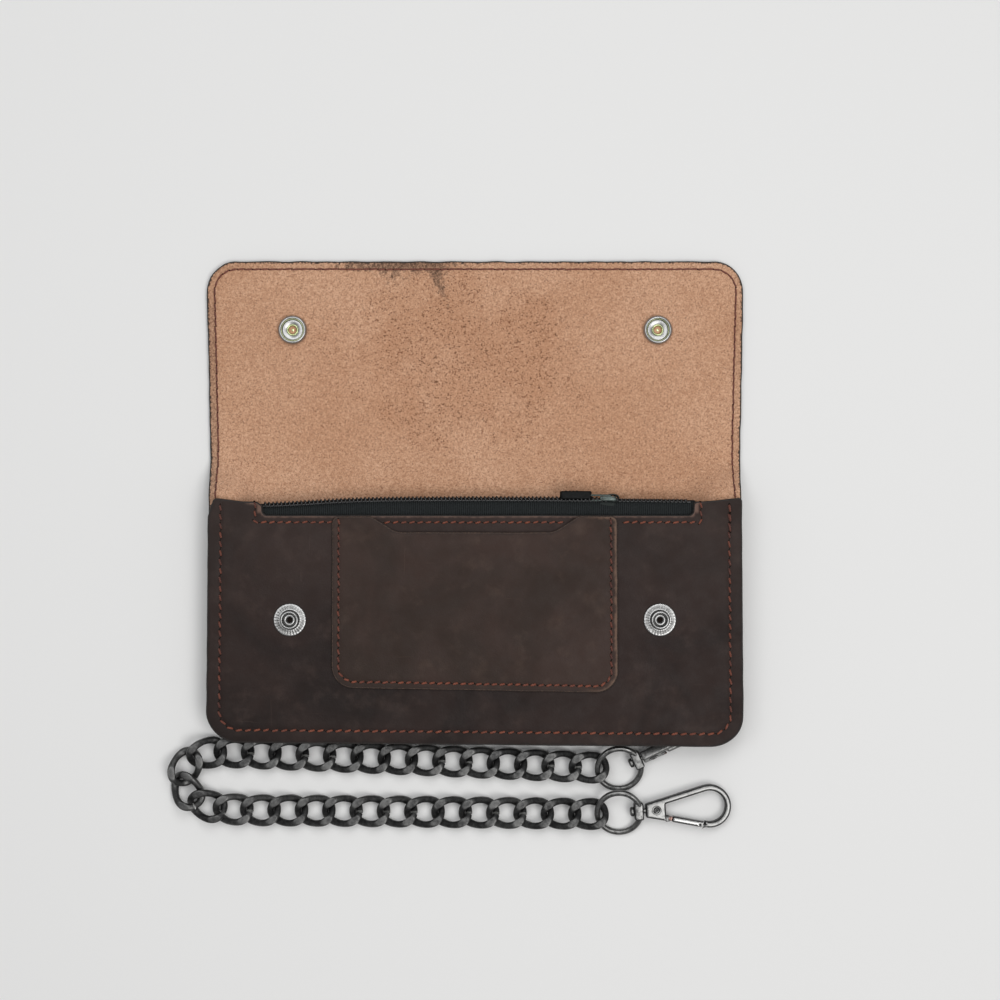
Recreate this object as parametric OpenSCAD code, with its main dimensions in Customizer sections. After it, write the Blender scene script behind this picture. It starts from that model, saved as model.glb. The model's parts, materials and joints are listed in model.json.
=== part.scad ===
// Long biker's wallet with a snap-down flap, a zipped coin compartment, a card
// pocket and a curb chain that ends in two swivel clasps.
// Units are millimetres. The origin is the centre of the wallet body's back face,
// the face that it lies on: +X to the right, +Y towards the flap, +Z upwards.
// The wallet is drawn open, with the flap laid back flat.

/* [Wallet body] */
// Width of the wallet body
body_w = 190; // [184:1:196]
// Height of the front panel, from its bottom edge to its zip edge
body_h = 86.8; // [86:0.2:88]
// Radius of the two bottom corners
body_corner_r = 11.5; // [9:0.5:14]
// Thickness of the outer leather
leather = 1.8; // [1.6:0.1:2]
// Thickness of the lining and pocket leather
thin_leather = 1.2; // [1:0.1:1.4]
// Height of the sewn rim above the surface that the wallet lies on
rim_z = 9; // [8.8:0.1:10]

/* [Flap] */
// Distance from the body's centre to the line that the flap folds on
fold_y = 52.7; // [52:0.1:54]
// Distance from the body's centre to the flap's free edge
flap_end_y = 129.2; // [125:0.2:133]
// Half of the flap's width at the fold
flap_half_w = 95.3; // [93:0.1:97]
// Half of the flap's width at its free edge
flap_end_half_w = 96.7; // [94:0.1:98]
// Radius of the flap's two corners
flap_corner_r = 10.8; // [8:0.2:14]
// Free height between the closed flap and the front panel
snap_gap = 4.4; // [4.4:0.1:5]

/* [Snap fasteners] */
// Distance from the body's centre line to each snap
snap_x = 65.5; // [63:0.5:68]
// Distance from the body's centre to the snap studs
snap_y = 1; // [0:0.5:2]
// Outer diameter of the stud's flange
stud_flange_d = 11.6; // [10:0.2:12]
// Outer diameter of the socket
socket_d = 10.4; // [10:0.1:11]
// Number of knurls around the stud's flange
stud_knurls = 28; // [20:1:36]

/* [Card pocket] */
// Width of the card pocket
pocket_w = 101.2; // [98:0.2:104]
// Lower edge of the card pocket
pocket_low_y = -23.9; // [-26:0.1:-22]
// Upper edge of the card pocket
pocket_high_y = 37.7; // [37:0.1:37.8]
// Depth of the thumb cut-out
thumb_depth = 5.7; // [4:0.1:7]

/* [Zip] */
// Left end of the zip opening
zip_left_x = -75.4; // [-78:0.2:-72]
// Right end of the zip opening
zip_right_x = 77.5; // [74:0.5:78]
// Depth of the zip opening below the front panel's edge
zip_depth = 5.3; // [5.2:0.1:6]
// Place of the slider along the zip
slider_x = 46; // [-60:1:66]

/* [Chain] */
// Distance between the centres of neighbouring links in a straight run
link_pitch = 9.81; // [9.7:0.01:9.9]
// Half length of a link, to the middle of its wire
link_a = 6.2; // [6.15:0.01:6.25]
// Half width of a link, to the middle of its wire
link_b = 4.57; // [4.5:0.01:4.65]
// Rise and fall of a link's twist
link_twist = 1.5; // [1.45:0.01:1.6]
// Thickness of the link wire
link_wire = 2.2; // [1.8:0.1:2.2]
// Diameter of the clasp's eye, to the middle of its wire
eye_d = 14.8; // [14.6:0.1:15]
// Thickness of the eye's wire
eye_wire = 2; // [1.8:0.1:2]

/* [Clasps] */
// Length of a clasp from the eye's centre to its tip
clasp_len = 40.3; // [39:0.1:41]
// Outer radius of the free clasp's hook
free_hook_r = 7.4; // [7:0.1:8]
// Outer radius of the wallet clasp's hook, which has to pass under the rim
wallet_hook_r = 4; // [3.9:0.1:4]
// Depth of a clasp, across its flat sides
clasp_depth = 3.8; // [3.4:0.1:4]

/* [Hidden] */
LINKS = 32;
function link_name(k) = str("link_", k < 10 ? "0" : "", k);
$fn = 48;
slab = 0.01;

// Heights of the stacked layers
front_z = rim_z + leather + thin_leather;
front_top = front_z + leather;
pocket_top = front_top + thin_leather;
inner_z = 6.4;
flap_lift = 1.2;
flap_top = flap_lift + leather;
// The flap turns about a line at fold_y, midway in height between its open and its closed top face,
// so that each socket comes down on its stud
socket_y = 2 * fold_y - snap_y;
// A stud ends inside the closed flap's socket, clear of its floor
stud_h = snap_gap - 1.3;
stud_hole_r = 1.4;

// Outline of the body
half_w = body_w / 2;
half_h = body_h / 2;
rim_w = 7;
slope_w = 13;
flap_start_y = fold_y + 13.2;
// The rim is wider at the lower right corner, where the chain's clasp lies under it
corner_cut = 108;

// Zip
coil_t = 1.2;
coil_w = 1.4;
coil_gap = 0.8;
coil_y = half_h - 1.1;
coil_mid_z = 9.7;
tape_t = 0.6;
hinge_bar_x = slider_x + 2.5;
hinge_bar_y = coil_y + 2.75;

// Stitches
thread = 0.6;
body_seam_inset = 4.6;
zip_seam_y = 35.5;

// Clasp proportions, from the eye's centre along the clasp
boss_x = 6.65;
boss_t = 3.3;
boss_w = 6.4;
plate_x = 9.6;
plate_end_x = 16.8;
plate_half_w = 2.4;
strip = 2.1;
rivet_x = 13.4;
pin_r = 0.9;
gate_pivot_x = 17.9;
gate_play = 0.15;
ear_t = 0.9;

// Where the clasps and the chain lie
wallet_eye = [51.7, -53, 3.49];
wallet_eye_tilt = [5, 18];
wallet_clasp_dir = [25.4, 1];
free_eye = [51.6, -69.35, 3.73];
free_eye_tilt = [-5, 20];
free_clasp_dir = [4.1, -1.6];
eye_to_link = 10.9;
row_dir = 177.6;
back_dir = 359.4;
// Leather tab and eyelet that the wallet clasp hooks into
tab_t = 1.4;
eyelet_hole_r = 2.7;
eyelet_r = 4.4;
tab_pos = wallet_eye + (clasp_len - strip / 2) * [
    cos(wallet_clasp_dir[1]) * cos(wallet_clasp_dir[0]),
    cos(wallet_clasp_dir[1]) * sin(wallet_clasp_dir[0]),
    sin(wallet_clasp_dir[1])];
// Height of the links' middle where they lie flat
link_rest_z = 2.75;
LINK_STEPS = 20;
LINK_SIDES = 8;
link_lift = 1;
// The last straight link before the chain turns back
turn_link = 14;
// Links in the turn: steps in x, y and z from that link, then heading, pitch and roll
turn = [
    [-9.7, -0.3, 0.2, 192, -4, -9],
    [-17.3, -5.2, 0, 240, -2, -3],
    [-16.9, -13.7, -0.1, 300, -7, 9],
    [-9.6, -18.9, 0.2, 339, 1, 6],
    [-0.3, -20.4, 0, 356, 0, 0]
];

// ---- Chain layout ----
function unit(a) = [cos(a), sin(a), 0];
// Links near the turn and near the eyes lie a little higher than the others
function lift(k) = link_lift * max(0, 1 - min(k - 1, abs(k - 16.5) - 0.5, LINKS - k) / 6);
first_link = [wallet_eye[0], wallet_eye[1], 0] + eye_to_link * unit(row_dir);
last_straight = first_link + (turn_link - 1) * link_pitch * unit(row_dir);
turn_end = turn_link + len(turn);
after_turn = last_straight + [turn[4][0], turn[4][1], 0]
    + link_pitch / 2 * (unit(turn[4][3]) + unit(back_dir));

// Centre and angles [x, y, z, heading, pitch, roll] of link k, counted from 1
function link_place(k) =
    k <= turn_link
        ? place_at(first_link + (k - 1) * link_pitch * unit(row_dir), k, row_dir, 0, 0)
    : k <= turn_end
        ? let (t = turn[k - turn_link - 1])
            place_at(last_straight + [t[0], t[1], t[2]], k, t[3], t[4], t[5])
    : place_at(after_turn + (k - turn_end - 1) * link_pitch * unit(back_dir),
        k, back_dir, 0, 0);
function place_at(p, k, heading, pitch, roll) =
    [p[0], p[1], p[2] + link_rest_z + lift(k), heading, pitch, roll];

// ---- Outlines ----
function arc(cx, cy, r, from, to, steps = 12) =
    [for (i = [0:steps]) let (a = from + (to - from) * i / steps)
        [cx + r * cos(a), cy + r * sin(a)]];

// Rectangle with two bottom corners rounded and a square top
function tray_points(x, low, high, r) = concat(
    [[x, high], [-x, high]],
    arc(-x + r, low + r, r, 180, 270),
    arc(x - r, low + r, r, 270, 360));

module body_outline(inset = 0, high = half_h) {
    polygon(tray_points(half_w - inset, -half_h + inset, high,
        max(2, body_corner_r - inset)));
}

// Body outline set in by inset, cut across at the corner where the clasp lies
module tray_outline(inset) {
    cut = corner_cut - (inset - rim_w) * sqrt(2);
    difference() {
        body_outline(inset, half_h + 20);
        translate([cut / 2, -cut / 2])
            rotate(-45)
                translate([0, -100])
                    square([200, 200]);
    }
}

module zip_slot() {
    translate([zip_left_x, half_h - zip_depth])
        square([zip_right_x - zip_left_x, zip_depth + 1]);
}

module at_snaps(y) {
    for (side = [-1, 1])
        translate([side * snap_x, y])
            children();
}

// ---- Leather ----
// Shallow tray: a flat floor, sloping walls and a flat rim that is sewn to the next panel
module tray(floor_z, rim_low, rim_in, floor_in, t, edge_in, y_end) {
    intersection() {
        union() {
            difference() {
                hull() {
                    translate([0, 0, floor_z])
                        linear_extrude(slab) tray_outline(floor_in);
                    translate([0, 0, rim_low])
                        linear_extrude(t) tray_outline(rim_in);
                }
                hull() {
                    translate([0, 0, floor_z + t])
                        linear_extrude(slab) tray_outline(floor_in);
                    translate([0, 0, rim_low + t])
                        linear_extrude(t) tray_outline(rim_in);
                }
            }
            translate([0, 0, rim_low])
                linear_extrude(t)
                    difference() {
                        body_outline(edge_in, half_h + 20);
                        tray_outline(rim_in);
                    }
        }
        translate([-half_w - 1, -half_h - 1, 0])
            cube([body_w + 2, half_h + 1 + y_end, front_z]);
    }
}

module back_panel() {
    color([0.2, 0.16, 0.15])
        tray(0, rim_z, rim_w, rim_w + slope_w, leather, 0, half_h);
}

module inner_panel() {
    color([0.33, 0.22, 0.17])
        tray(inner_z, rim_z + leather, rim_w + 2, rim_w + 9, thin_leather, 1,
            coil_y - 0.1);
}

module front_panel() {
    color([0.23, 0.19, 0.18])
        translate([0, 0, front_z])
            linear_extrude(leather)
                difference() {
                    body_outline();
                    zip_slot();
                    at_snaps(snap_y) circle(r = stud_hole_r);
                }
}

module card_pocket() {
    half = pocket_w / 2;
    lip = 37;
    lip_low = 28;
    corner = 7.8;
    color([0.26, 0.21, 0.19])
        translate([0, 0, front_top])
            linear_extrude(thin_leather)
                polygon(concat(
                    arc(half - 2.5, pocket_high_y - 2.5, 2.5, 0, 90, 6),
                    [[lip, pocket_high_y],
                     [lip_low, pocket_high_y - thumb_depth],
                     [-lip_low, pocket_high_y - thumb_depth],
                     [-lip, pocket_high_y]],
                    arc(-half + 2.5, pocket_high_y - 2.5, 2.5, 90, 180, 6),
                    arc(-half + corner, pocket_low_y + corner, corner, 180, 270),
                    arc(half - corner, pocket_low_y + corner, corner, 270, 360)));
}

function flap_points(inset) = let (
        x = flap_end_half_w - inset, y = flap_end_y - inset, r = flap_corner_r - inset)
    concat(
        arc(x - r, y - r, r, 0, 90),
        arc(-x + r, y - r, r, 90, 180),
        [[-flap_half_w - 0.25 + inset, flap_start_y],
         [flap_half_w + 0.25 - inset, flap_start_y]]);

module flap() {
    color([0.75, 0.58, 0.48])
        translate([0, 0, flap_lift])
            linear_extrude(leather)
                difference() {
                    polygon(flap_points(0));
                    at_snaps(socket_y) circle(r = 2);
                }
}

// The soft stretch of leather that bends when the flap is closed
module fold_strip() {
    start = half_h + 0.1;
    end = flap_start_y - 0.1;
    color([0.72, 0.55, 0.45])
        translate([-flap_half_w, 0, 0])
            rotate([90, 0, 90])
                linear_extrude(2 * flap_half_w)
                    polygon([[start, 0], [end, flap_lift], [end, flap_top],
                        [start, leather]]);
}

// ---- Stitching, one thin raised line for each seam ----
module seam_band(outer, inner, z) {
    translate([0, 0, z])
        linear_extrude(0.25)
            difference() {
                polygon(outer);
                polygon(inner);
            }
}

module panel_threads() {
    color([0.63, 0.35, 0.24]) {
        x = half_w - body_seam_inset;
        low = -half_h + body_seam_inset;
        r = body_corner_r - body_seam_inset;
        // Around the body
        seam_band(
            tray_points(x + thread / 2, low - thread / 2, half_h - 1, r + thread / 2),
            tray_points(x - thread / 2, low + thread / 2, half_h, r - thread / 2),
            front_top);
        // Below the zip and up both of its ends, clear of the card pocket
        for (side = [-1, 1])
            translate([0, 0, front_top])
                linear_extrude(0.25) {
                    end = side < 0 ? zip_left_x - 2.8 : zip_right_x + 2.9;
                    near = side * (pocket_w / 2 + 0.5);
                    translate([min(end, near), zip_seam_y - thread / 2])
                        square([abs(end - near), thread]);
                    translate([end - thread / 2, zip_seam_y])
                        square([thread, half_h - zip_seam_y - 0.5]);
                }
        // Around the card pocket
        px = pocket_w / 2 - 2.3;
        py = pocket_low_y + 2.3;
        seam_band(
            tray_points(px + thread / 2, py - thread / 2, pocket_high_y - 1, 5.8),
            tray_points(px - thread / 2, py + thread / 2, pocket_high_y, 5.2),
            pocket_top);
    }
}

module flap_thread() {
    color([0.45, 0.2, 0.15])
        translate([0, 0, flap_top])
            linear_extrude(0.2)
                difference() {
                    polygon(flap_points(2.6));
                    polygon(flap_points(3.1));
                    translate([-half_w, flap_start_y - 1])
                        square([body_w, 1.5]);
                }
}

// ---- Zip ----
module zip_tapes() {
    left = zip_left_x - 1.5;
    length = zip_right_x - zip_left_x + 3;
    color([0.06, 0.07, 0.07]) {
        // Front tape, sewn under the front panel
        translate([left, 32.5, front_z - tape_t])
            cube([length, coil_y - 32.5, tape_t]);
        // Rear tape, sewn to the lining and turned up behind the coil
        translate([left, 34, inner_z + thin_leather])
            cube([length, coil_y - 34, tape_t]);
        translate([left, coil_y - tape_t, inner_z + thin_leather])
            cube([length, tape_t, coil_mid_z - coil_gap / 2 - inner_z - thin_leather]);
    }
}

// The two rows of coil, a slider's post apart
module zip_coils() {
    color([0.05, 0.05, 0.05])
        for (side = [0, 1])
            translate([zip_left_x, coil_y,
                coil_mid_z + coil_gap / 2 - side * (coil_gap + coil_w)])
                cube([zip_right_x - zip_left_x, coil_t, coil_w]);
}

module zip_slider() {
    length = 10;
    front_y = coil_y + coil_t + 0.2;
    color([0.22, 0.25, 0.24])
        difference() {
            union() {
                // Front plate
                translate([slider_x - length / 2, front_y, coil_mid_z - 2.4])
                    cube([length, 0.8, 4.8]);
                // Rear plate
                translate([slider_x - length / 2 + 1, coil_y - tape_t - 1.1,
                    coil_mid_z - 1.1])
                    cube([length - 2, 0.8, 2.4]);
                // Post between the rows of coil
                translate([slider_x + 1.5, coil_y - tape_t - 0.5, coil_mid_z - 0.25])
                    cube([2.5, front_y - coil_y + tape_t + 0.7, 0.5]);
                // Bridge that holds the pull
                translate([hinge_bar_x - 1.3, front_y + 0.7, coil_mid_z - 0.8])
                    cube([2.6, hinge_bar_y - front_y + 0.6, 1.6]);
            }
            translate([hinge_bar_x, hinge_bar_y, coil_mid_z - 1])
                cylinder(r = 0.55, h = 2);
        }
}

module zip_pull() {
    arm = 8.4;
    color([0.1, 0.1, 0.1]) {
        translate([hinge_bar_x, hinge_bar_y, coil_mid_z - 1.7])
            cylinder(r = 0.45, h = 3.4);
        for (side = [-1, 1])
            translate([hinge_bar_x - arm, hinge_bar_y - 0.35,
                coil_mid_z + side * 1.4 - 0.35])
                cube([arm + 0.3, 0.7, 0.7]);
        translate([hinge_bar_x - arm - 11, hinge_bar_y - 1.1, coil_mid_z - 2.6])
            cube([11.4, 2.4, 5.2]);
    }
}

// ---- Snap fasteners ----
module snap_caps() {
    color([0.75, 0.62, 0.35])
        at_snaps(socket_y)
            rotate_extrude()
                polygon([[0, 0], [4.6, 0.1], [5.4, 0.5], [5.6, 1.1], [1.9, 1.1],
                    [1.9, flap_top + 0.7], [2.05, flap_top + 0.9], [1.4, flap_top + 0.9],
                    [1.4, 0.6], [0, 0.6]]);
}

module snap_sockets() {
    r = socket_d / 2;
    color([0.8, 0.8, 0.78])
        at_snaps(socket_y)
            translate([0, 0, flap_top])
                rotate_extrude()
                    polygon([[2, 0.02], [r, 0.02], [r, 1.6], [r - 0.5, 2.2],
                        [r - 1.1, 2.4], [3.8, 2.2], [3.55, 1.7], [3.55, 0.5],
                        [2, 0.5]]);
}

module snap_studs() {
    knurl_r = 0.35;
    color([0.78, 0.78, 0.76])
        at_snaps(snap_y)
            translate([0, 0, front_top]) {
                difference() {
                    rotate_extrude()
                        polygon([[1.3, 0.02], [stud_flange_d / 2, 0.02],
                            [stud_flange_d / 2, 0.45], [4.2, 0.75], [2.7, 0.75],
                            [2.7, stud_h - 1.6], [3.3, stud_h - 1], [3.3, stud_h - 0.4],
                            [2.9, stud_h], [2.5, stud_h], [2.5, 1.2], [1.3, 1.2]]);
                    for (i = [0:stud_knurls - 1])
                        rotate(i * 360 / stud_knurls)
                            translate([stud_flange_d / 2 + 0.1, 0, -0.1])
                                cylinder(r = knurl_r, h = 1, $fn = 16);
                }
            }
}

module snap_posts() {
    color([0.75, 0.62, 0.35])
        at_snaps(snap_y)
            translate([0, 0, front_z])
                rotate_extrude()
                    polygon([[0.7, -0.5], [4, -0.5], [4, -0.02], [1.25, -0.02],
                        [1.25, leather + 1.3], [1.8, leather + 1.5], [1.2, leather + 1.7],
                        [0.7, leather + 1.5]]);
}

// ---- Clasps, drawn along +X from the centre of their eye ----
// Point where a line from q touches the circle of radius r about [cx, 0]
function touch_angle(q, cx, r) = let (d = norm([cx - q[0], q[1]]))
    atan2(q[1], q[0] - cx) - acos(r / d);

// Drop-shaped outline that starts x0 from the eye, half w high, and ends round
module drop(x0, w, cx, r) {
    a = touch_angle([x0, w], cx, r);
    polygon(concat([[x0, w], [x0, -w]], arc(cx, 0, r, -a, a, 28)));
}

module place_clasp(eye, dir) {
    translate(eye)
        rotate([0, -dir[1], dir[0]])
            children();
}

module clasp_hook(r) {
    cx = clasp_len - r;
    gate_end_x = cx - 2.1;
    translate([0, 0, -clasp_depth / 2])
        linear_extrude(clasp_depth)
            difference() {
                drop(plate_x, plate_half_w, cx, r);
                intersection() {
                    drop(plate_x, plate_half_w - strip, cx, r - strip);
                    translate([plate_end_x, -20])
                        square([60, 40]);
                }
                // Room for the gate, which takes the lower arm's place
                translate([plate_end_x + 0.1, -20])
                    square([gate_end_x - plate_end_x, 20 - 0.2]);
            }
    // Two ears that hold the gate's pin
    for (side = [-1, 1])
        translate([plate_end_x - 0.4, -clasp_gate_y(r) - strip / 2,
            side * (clasp_depth / 2 - ear_t / 2) - ear_t / 2])
            cube([gate_pivot_x + 0.3 - plate_end_x + 0.4, strip, ear_t]);
}

// Distance of the gate's middle line from the clasp's axis at its pivot
function clasp_gate_y(r) = let (
        cx = clasp_len - r, a = touch_angle([plate_x, plate_half_w], cx, r),
        tx = cx + r * cos(a), ty = r * sin(a),
        slope = (ty - plate_half_w) / (tx - plate_x))
    plate_half_w + slope * (gate_pivot_x - plate_x) - strip / 2;

module clasp_gate(r) {
    cx = clasp_len - r;
    from = [gate_pivot_x, -clasp_gate_y(r)];
    to = [cx - 2.1 - gate_play, -r + strip / 2 + 0.35];
    length = norm(to - from);
    translate([from[0], from[1], 0])
        rotate(atan2(to[1] - from[1], to[0] - from[0]))
            difference() {
                union() {
                    translate([0.9, -strip / 2, -clasp_depth / 2])
                        cube([length - 1.1, strip, clasp_depth]);
                    translate([0, 0, -0.85])
                        cylinder(r = 0.85, h = 1.7);
                    translate([0, -0.85, -0.85])
                        cube([1.5, 1.7, 1.7]);
                }
                translate([0, 0, -3])
                    cylinder(r = 0.5, h = 6);
            }
}

module clasp_rivets(r) {
    // Spring rivet through the plate
    translate([rivet_x, 0, clasp_depth / 2 + 0.02])
        rotate_extrude()
            polygon([[0, 0], [1.75, 0], [1.75, 0.35], [1.45, 0.6], [0.8, 0.6],
                [0.7, 0.35], [0, 0.35]]);
    // Gate pin
    translate([gate_pivot_x, -clasp_gate_y(r), -0.9])
        cylinder(r = 0.42, h = 1.8);
}

// Headed pin that the clasp turns on, from inside the eye to the plate
module clasp_swivel_pin() {
    head = 1.4;
    start = boss_x - boss_t / 2 - head - 0.1;
    translate([start, 0, 0])
        rotate([0, 90, 0])
            cylinder(r = 1.7, h = head);
    translate([start + head - 0.1, 0, 0])
        rotate([0, 90, 0])
            cylinder(r = pin_r, h = plate_x - start - head + 0.08);
}

// Round eye with a drilled boss for the swivel pin
module clasp_eye(eye, tilt, dir) {
    difference() {
        union() {
            translate(eye)
                rotate([0, 0, tilt[0]])
                    rotate([tilt[1], 0, 0])
                        rotate_extrude()
                            translate([eye_d / 2, 0])
                                circle(r = eye_wire / 2, $fn = 32);
            place_clasp(eye, dir)
                translate([boss_x - boss_t / 2, -boss_w / 2, -1.9])
                    cube([boss_t, boss_w, 3.8]);
        }
        place_clasp(eye, dir)
            translate([boss_x - boss_t, 0, 0])
                rotate([0, 90, 0])
                    cylinder(r = pin_r + 0.08, h = 2 * boss_t);
        // Flats on the boss, clear of the pin's head and of the plate
        place_clasp(eye, dir)
            for (x = [boss_x - boss_t / 2 - 2, boss_x + boss_t / 2])
                translate([x, -1.9, -1.9])
                    cube([2, 3.8, 3.8]);
    }
}

module place_wallet_clasp() {
    place_clasp(wallet_eye, wallet_clasp_dir)
        rotate([90, 0, 0])
            children();
}

module wallet_clasp_hook() {
    color([0.42, 0.42, 0.42]) place_wallet_clasp() clasp_hook(wallet_hook_r);
}
module wallet_clasp_gate() {
    color([0.6, 0.6, 0.6]) place_wallet_clasp() clasp_gate(wallet_hook_r);
}
module wallet_clasp_rivets() {
    color([0.3, 0.3, 0.3]) place_wallet_clasp() clasp_rivets(wallet_hook_r);
}
module wallet_clasp_swivel_pin() {
    color([0.35, 0.35, 0.35]) place_wallet_clasp() clasp_swivel_pin();
}
module wallet_clasp_eye() {
    color([0.5, 0.5, 0.5]) clasp_eye(wallet_eye, wallet_eye_tilt, wallet_clasp_dir);
}
module free_clasp_hook() {
    color([0.55, 0.55, 0.55]) place_clasp(free_eye, free_clasp_dir) clasp_hook(free_hook_r);
}
module free_clasp_gate() {
    color([0.75, 0.75, 0.75]) place_clasp(free_eye, free_clasp_dir) clasp_gate(free_hook_r);
}
module free_clasp_rivets() {
    color([0.3, 0.3, 0.3]) place_clasp(free_eye, free_clasp_dir) clasp_rivets(free_hook_r);
}
module free_clasp_swivel_pin() {
    color([0.35, 0.35, 0.35]) place_clasp(free_eye, free_clasp_dir) clasp_swivel_pin();
}
module free_clasp_eye() {
    color([0.5, 0.5, 0.5]) clasp_eye(free_eye, free_eye_tilt, free_clasp_dir);
}

// ---- Leather tab and eyelet that the wallet clasp hooks into ----
module chain_tab() {
    length = 19.5;
    color([0.2, 0.16, 0.15])
        translate([tab_pos[0], tab_pos[1], tab_pos[2] - tab_t / 2])
            linear_extrude(tab_t)
                difference() {
                    union() {
                        circle(r = eyelet_r + 0.6);
                        rotate(135)
                            translate([0, -eyelet_r])
                                square([length, 2 * eyelet_r]);
                    }
                    circle(r = eyelet_hole_r + 0.45);
                }
}

module tab_eyelet() {
    color([0.55, 0.55, 0.5])
        translate([tab_pos[0], tab_pos[1], tab_pos[2]])
            rotate_extrude()
                polygon([
                    [eyelet_hole_r, -tab_t / 2 - 0.4], [eyelet_r, -tab_t / 2 - 0.4],
                    [eyelet_r, -tab_t / 2 - 0.02], [eyelet_hole_r + 0.4, -tab_t / 2 - 0.02],
                    [eyelet_hole_r + 0.4, tab_t / 2 + 0.02], [eyelet_r, tab_t / 2 + 0.02],
                    [eyelet_r, tab_t / 2 + 0.4], [eyelet_hole_r, tab_t / 2 + 0.4]]);
}

// ---- Chain ----
// Middle line of a twisted link, and its direction there
function link_line(t) = [link_a * cos(t), link_b * sin(t), -link_twist * sin(2 * t)];
function link_way(t) = let (
        d = [-link_a * sin(t), link_b * cos(t), -2 * link_twist * cos(2 * t)])
    d / norm(d);
function link_ring(t) = let (
        way = link_way(t),
        side = cross(way, [0, 0, 1]) / norm(cross(way, [0, 0, 1])),
        up = cross(side, way))
    [for (j = [0:LINK_SIDES - 1]) let (a = (j + 0.5) * 360 / LINK_SIDES)
        link_line(t) + link_wire / 2 * (cos(a) * side + sin(a) * up)];

module curb_link() {
    points = [for (i = [0:LINK_STEPS - 1]) each link_ring(i * 360 / LINK_STEPS)];
    faces = [for (i = [0:LINK_STEPS - 1]) for (j = [0:LINK_SIDES - 1]) let (
                here = i * LINK_SIDES, next = ((i + 1) % LINK_STEPS) * LINK_SIDES,
                k = (j + 1) % LINK_SIDES)
            each [[here + j, here + k, next + k], [here + j, next + k, next + j]]];
    polyhedron(points, faces);
}

module chain_link(k) {
    p = link_place(k);
    color([0.2, 0.2, 0.2])
        translate([p[0], p[1], p[2]])
            rotate([p[5], p[4], p[3]])
                curb_link();
}

back_panel();
front_panel();
inner_panel();
card_pocket();
flap();
fold_strip();
panel_threads();
flap_thread();
zip_tapes();
zip_coils();
zip_slider();
zip_pull();
snap_caps();
snap_sockets();
snap_studs();
snap_posts();
chain_tab();
tab_eyelet();
wallet_clasp_hook();
wallet_clasp_gate();
wallet_clasp_rivets();
wallet_clasp_swivel_pin();
wallet_clasp_eye();
free_clasp_hook();
free_clasp_gate();
free_clasp_rivets();
free_clasp_swivel_pin();
free_clasp_eye();
for (k = [1:LINKS]) chain_link(k);
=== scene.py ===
"""Looks of the chain wallet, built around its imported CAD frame.

Lengths are in millimetres until a mesh is made.
"""

import json
import math
import random
from collections import namedtuple

import bmesh
import bpy
import numpy as np
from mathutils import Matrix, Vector, geometry


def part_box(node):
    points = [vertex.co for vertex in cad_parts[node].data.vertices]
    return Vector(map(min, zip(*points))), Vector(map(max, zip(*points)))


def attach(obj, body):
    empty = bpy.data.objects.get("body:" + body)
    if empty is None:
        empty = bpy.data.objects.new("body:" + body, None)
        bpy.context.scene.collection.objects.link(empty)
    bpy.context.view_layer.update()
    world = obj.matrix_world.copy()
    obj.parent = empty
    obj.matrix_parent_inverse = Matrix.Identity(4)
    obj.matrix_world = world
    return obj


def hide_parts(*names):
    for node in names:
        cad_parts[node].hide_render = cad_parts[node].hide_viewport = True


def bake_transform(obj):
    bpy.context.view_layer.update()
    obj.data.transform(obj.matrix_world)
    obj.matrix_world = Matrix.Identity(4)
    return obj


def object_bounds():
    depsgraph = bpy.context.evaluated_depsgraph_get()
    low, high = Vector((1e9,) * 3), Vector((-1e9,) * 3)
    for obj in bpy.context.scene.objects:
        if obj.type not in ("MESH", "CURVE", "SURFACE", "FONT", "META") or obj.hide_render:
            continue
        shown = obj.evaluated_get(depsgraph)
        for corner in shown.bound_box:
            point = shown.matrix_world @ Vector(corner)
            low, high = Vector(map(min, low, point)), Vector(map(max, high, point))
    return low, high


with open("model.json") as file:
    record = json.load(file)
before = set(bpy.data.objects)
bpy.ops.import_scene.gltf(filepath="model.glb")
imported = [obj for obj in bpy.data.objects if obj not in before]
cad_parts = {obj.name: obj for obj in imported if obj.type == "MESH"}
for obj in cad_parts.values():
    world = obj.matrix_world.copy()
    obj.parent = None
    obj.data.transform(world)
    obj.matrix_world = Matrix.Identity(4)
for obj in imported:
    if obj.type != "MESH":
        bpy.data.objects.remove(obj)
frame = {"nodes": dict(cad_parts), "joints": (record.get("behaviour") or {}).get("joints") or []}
cad_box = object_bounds()
MM = 0.001
draw = random.Random(7)


# ---- Measures read from the frame ----
def cad_size(node):
    low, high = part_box(node)
    return np.array(low) / MM, np.array(high) / MM


def joint(name):
    return next(j for j in frame["joints"] if j["name"] == name)


front_low, front_high = cad_size("front_panel")
pocket_low, pocket_high = cad_size("card_pocket")
back_high = cad_size("back_panel")[1]
flap_low, flap_high = cad_size("flap")
fold_high = cad_size("fold_strip")[1]
inner_low = cad_size("inner_panel")[0]
tape_low, tape_high = cad_size("zip_tapes")
coil_low, coil_high = cad_size("zip_coils")
slider_low, slider_high = cad_size("zip_slider")
pull_low, pull_high = cad_size("zip_pull")
stud_low, stud_high = cad_size("snap_studs")
socket_low, socket_high = cad_size("snap_sockets")
eyelet_low, eyelet_high = cad_size("tab_eyelet")

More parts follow.
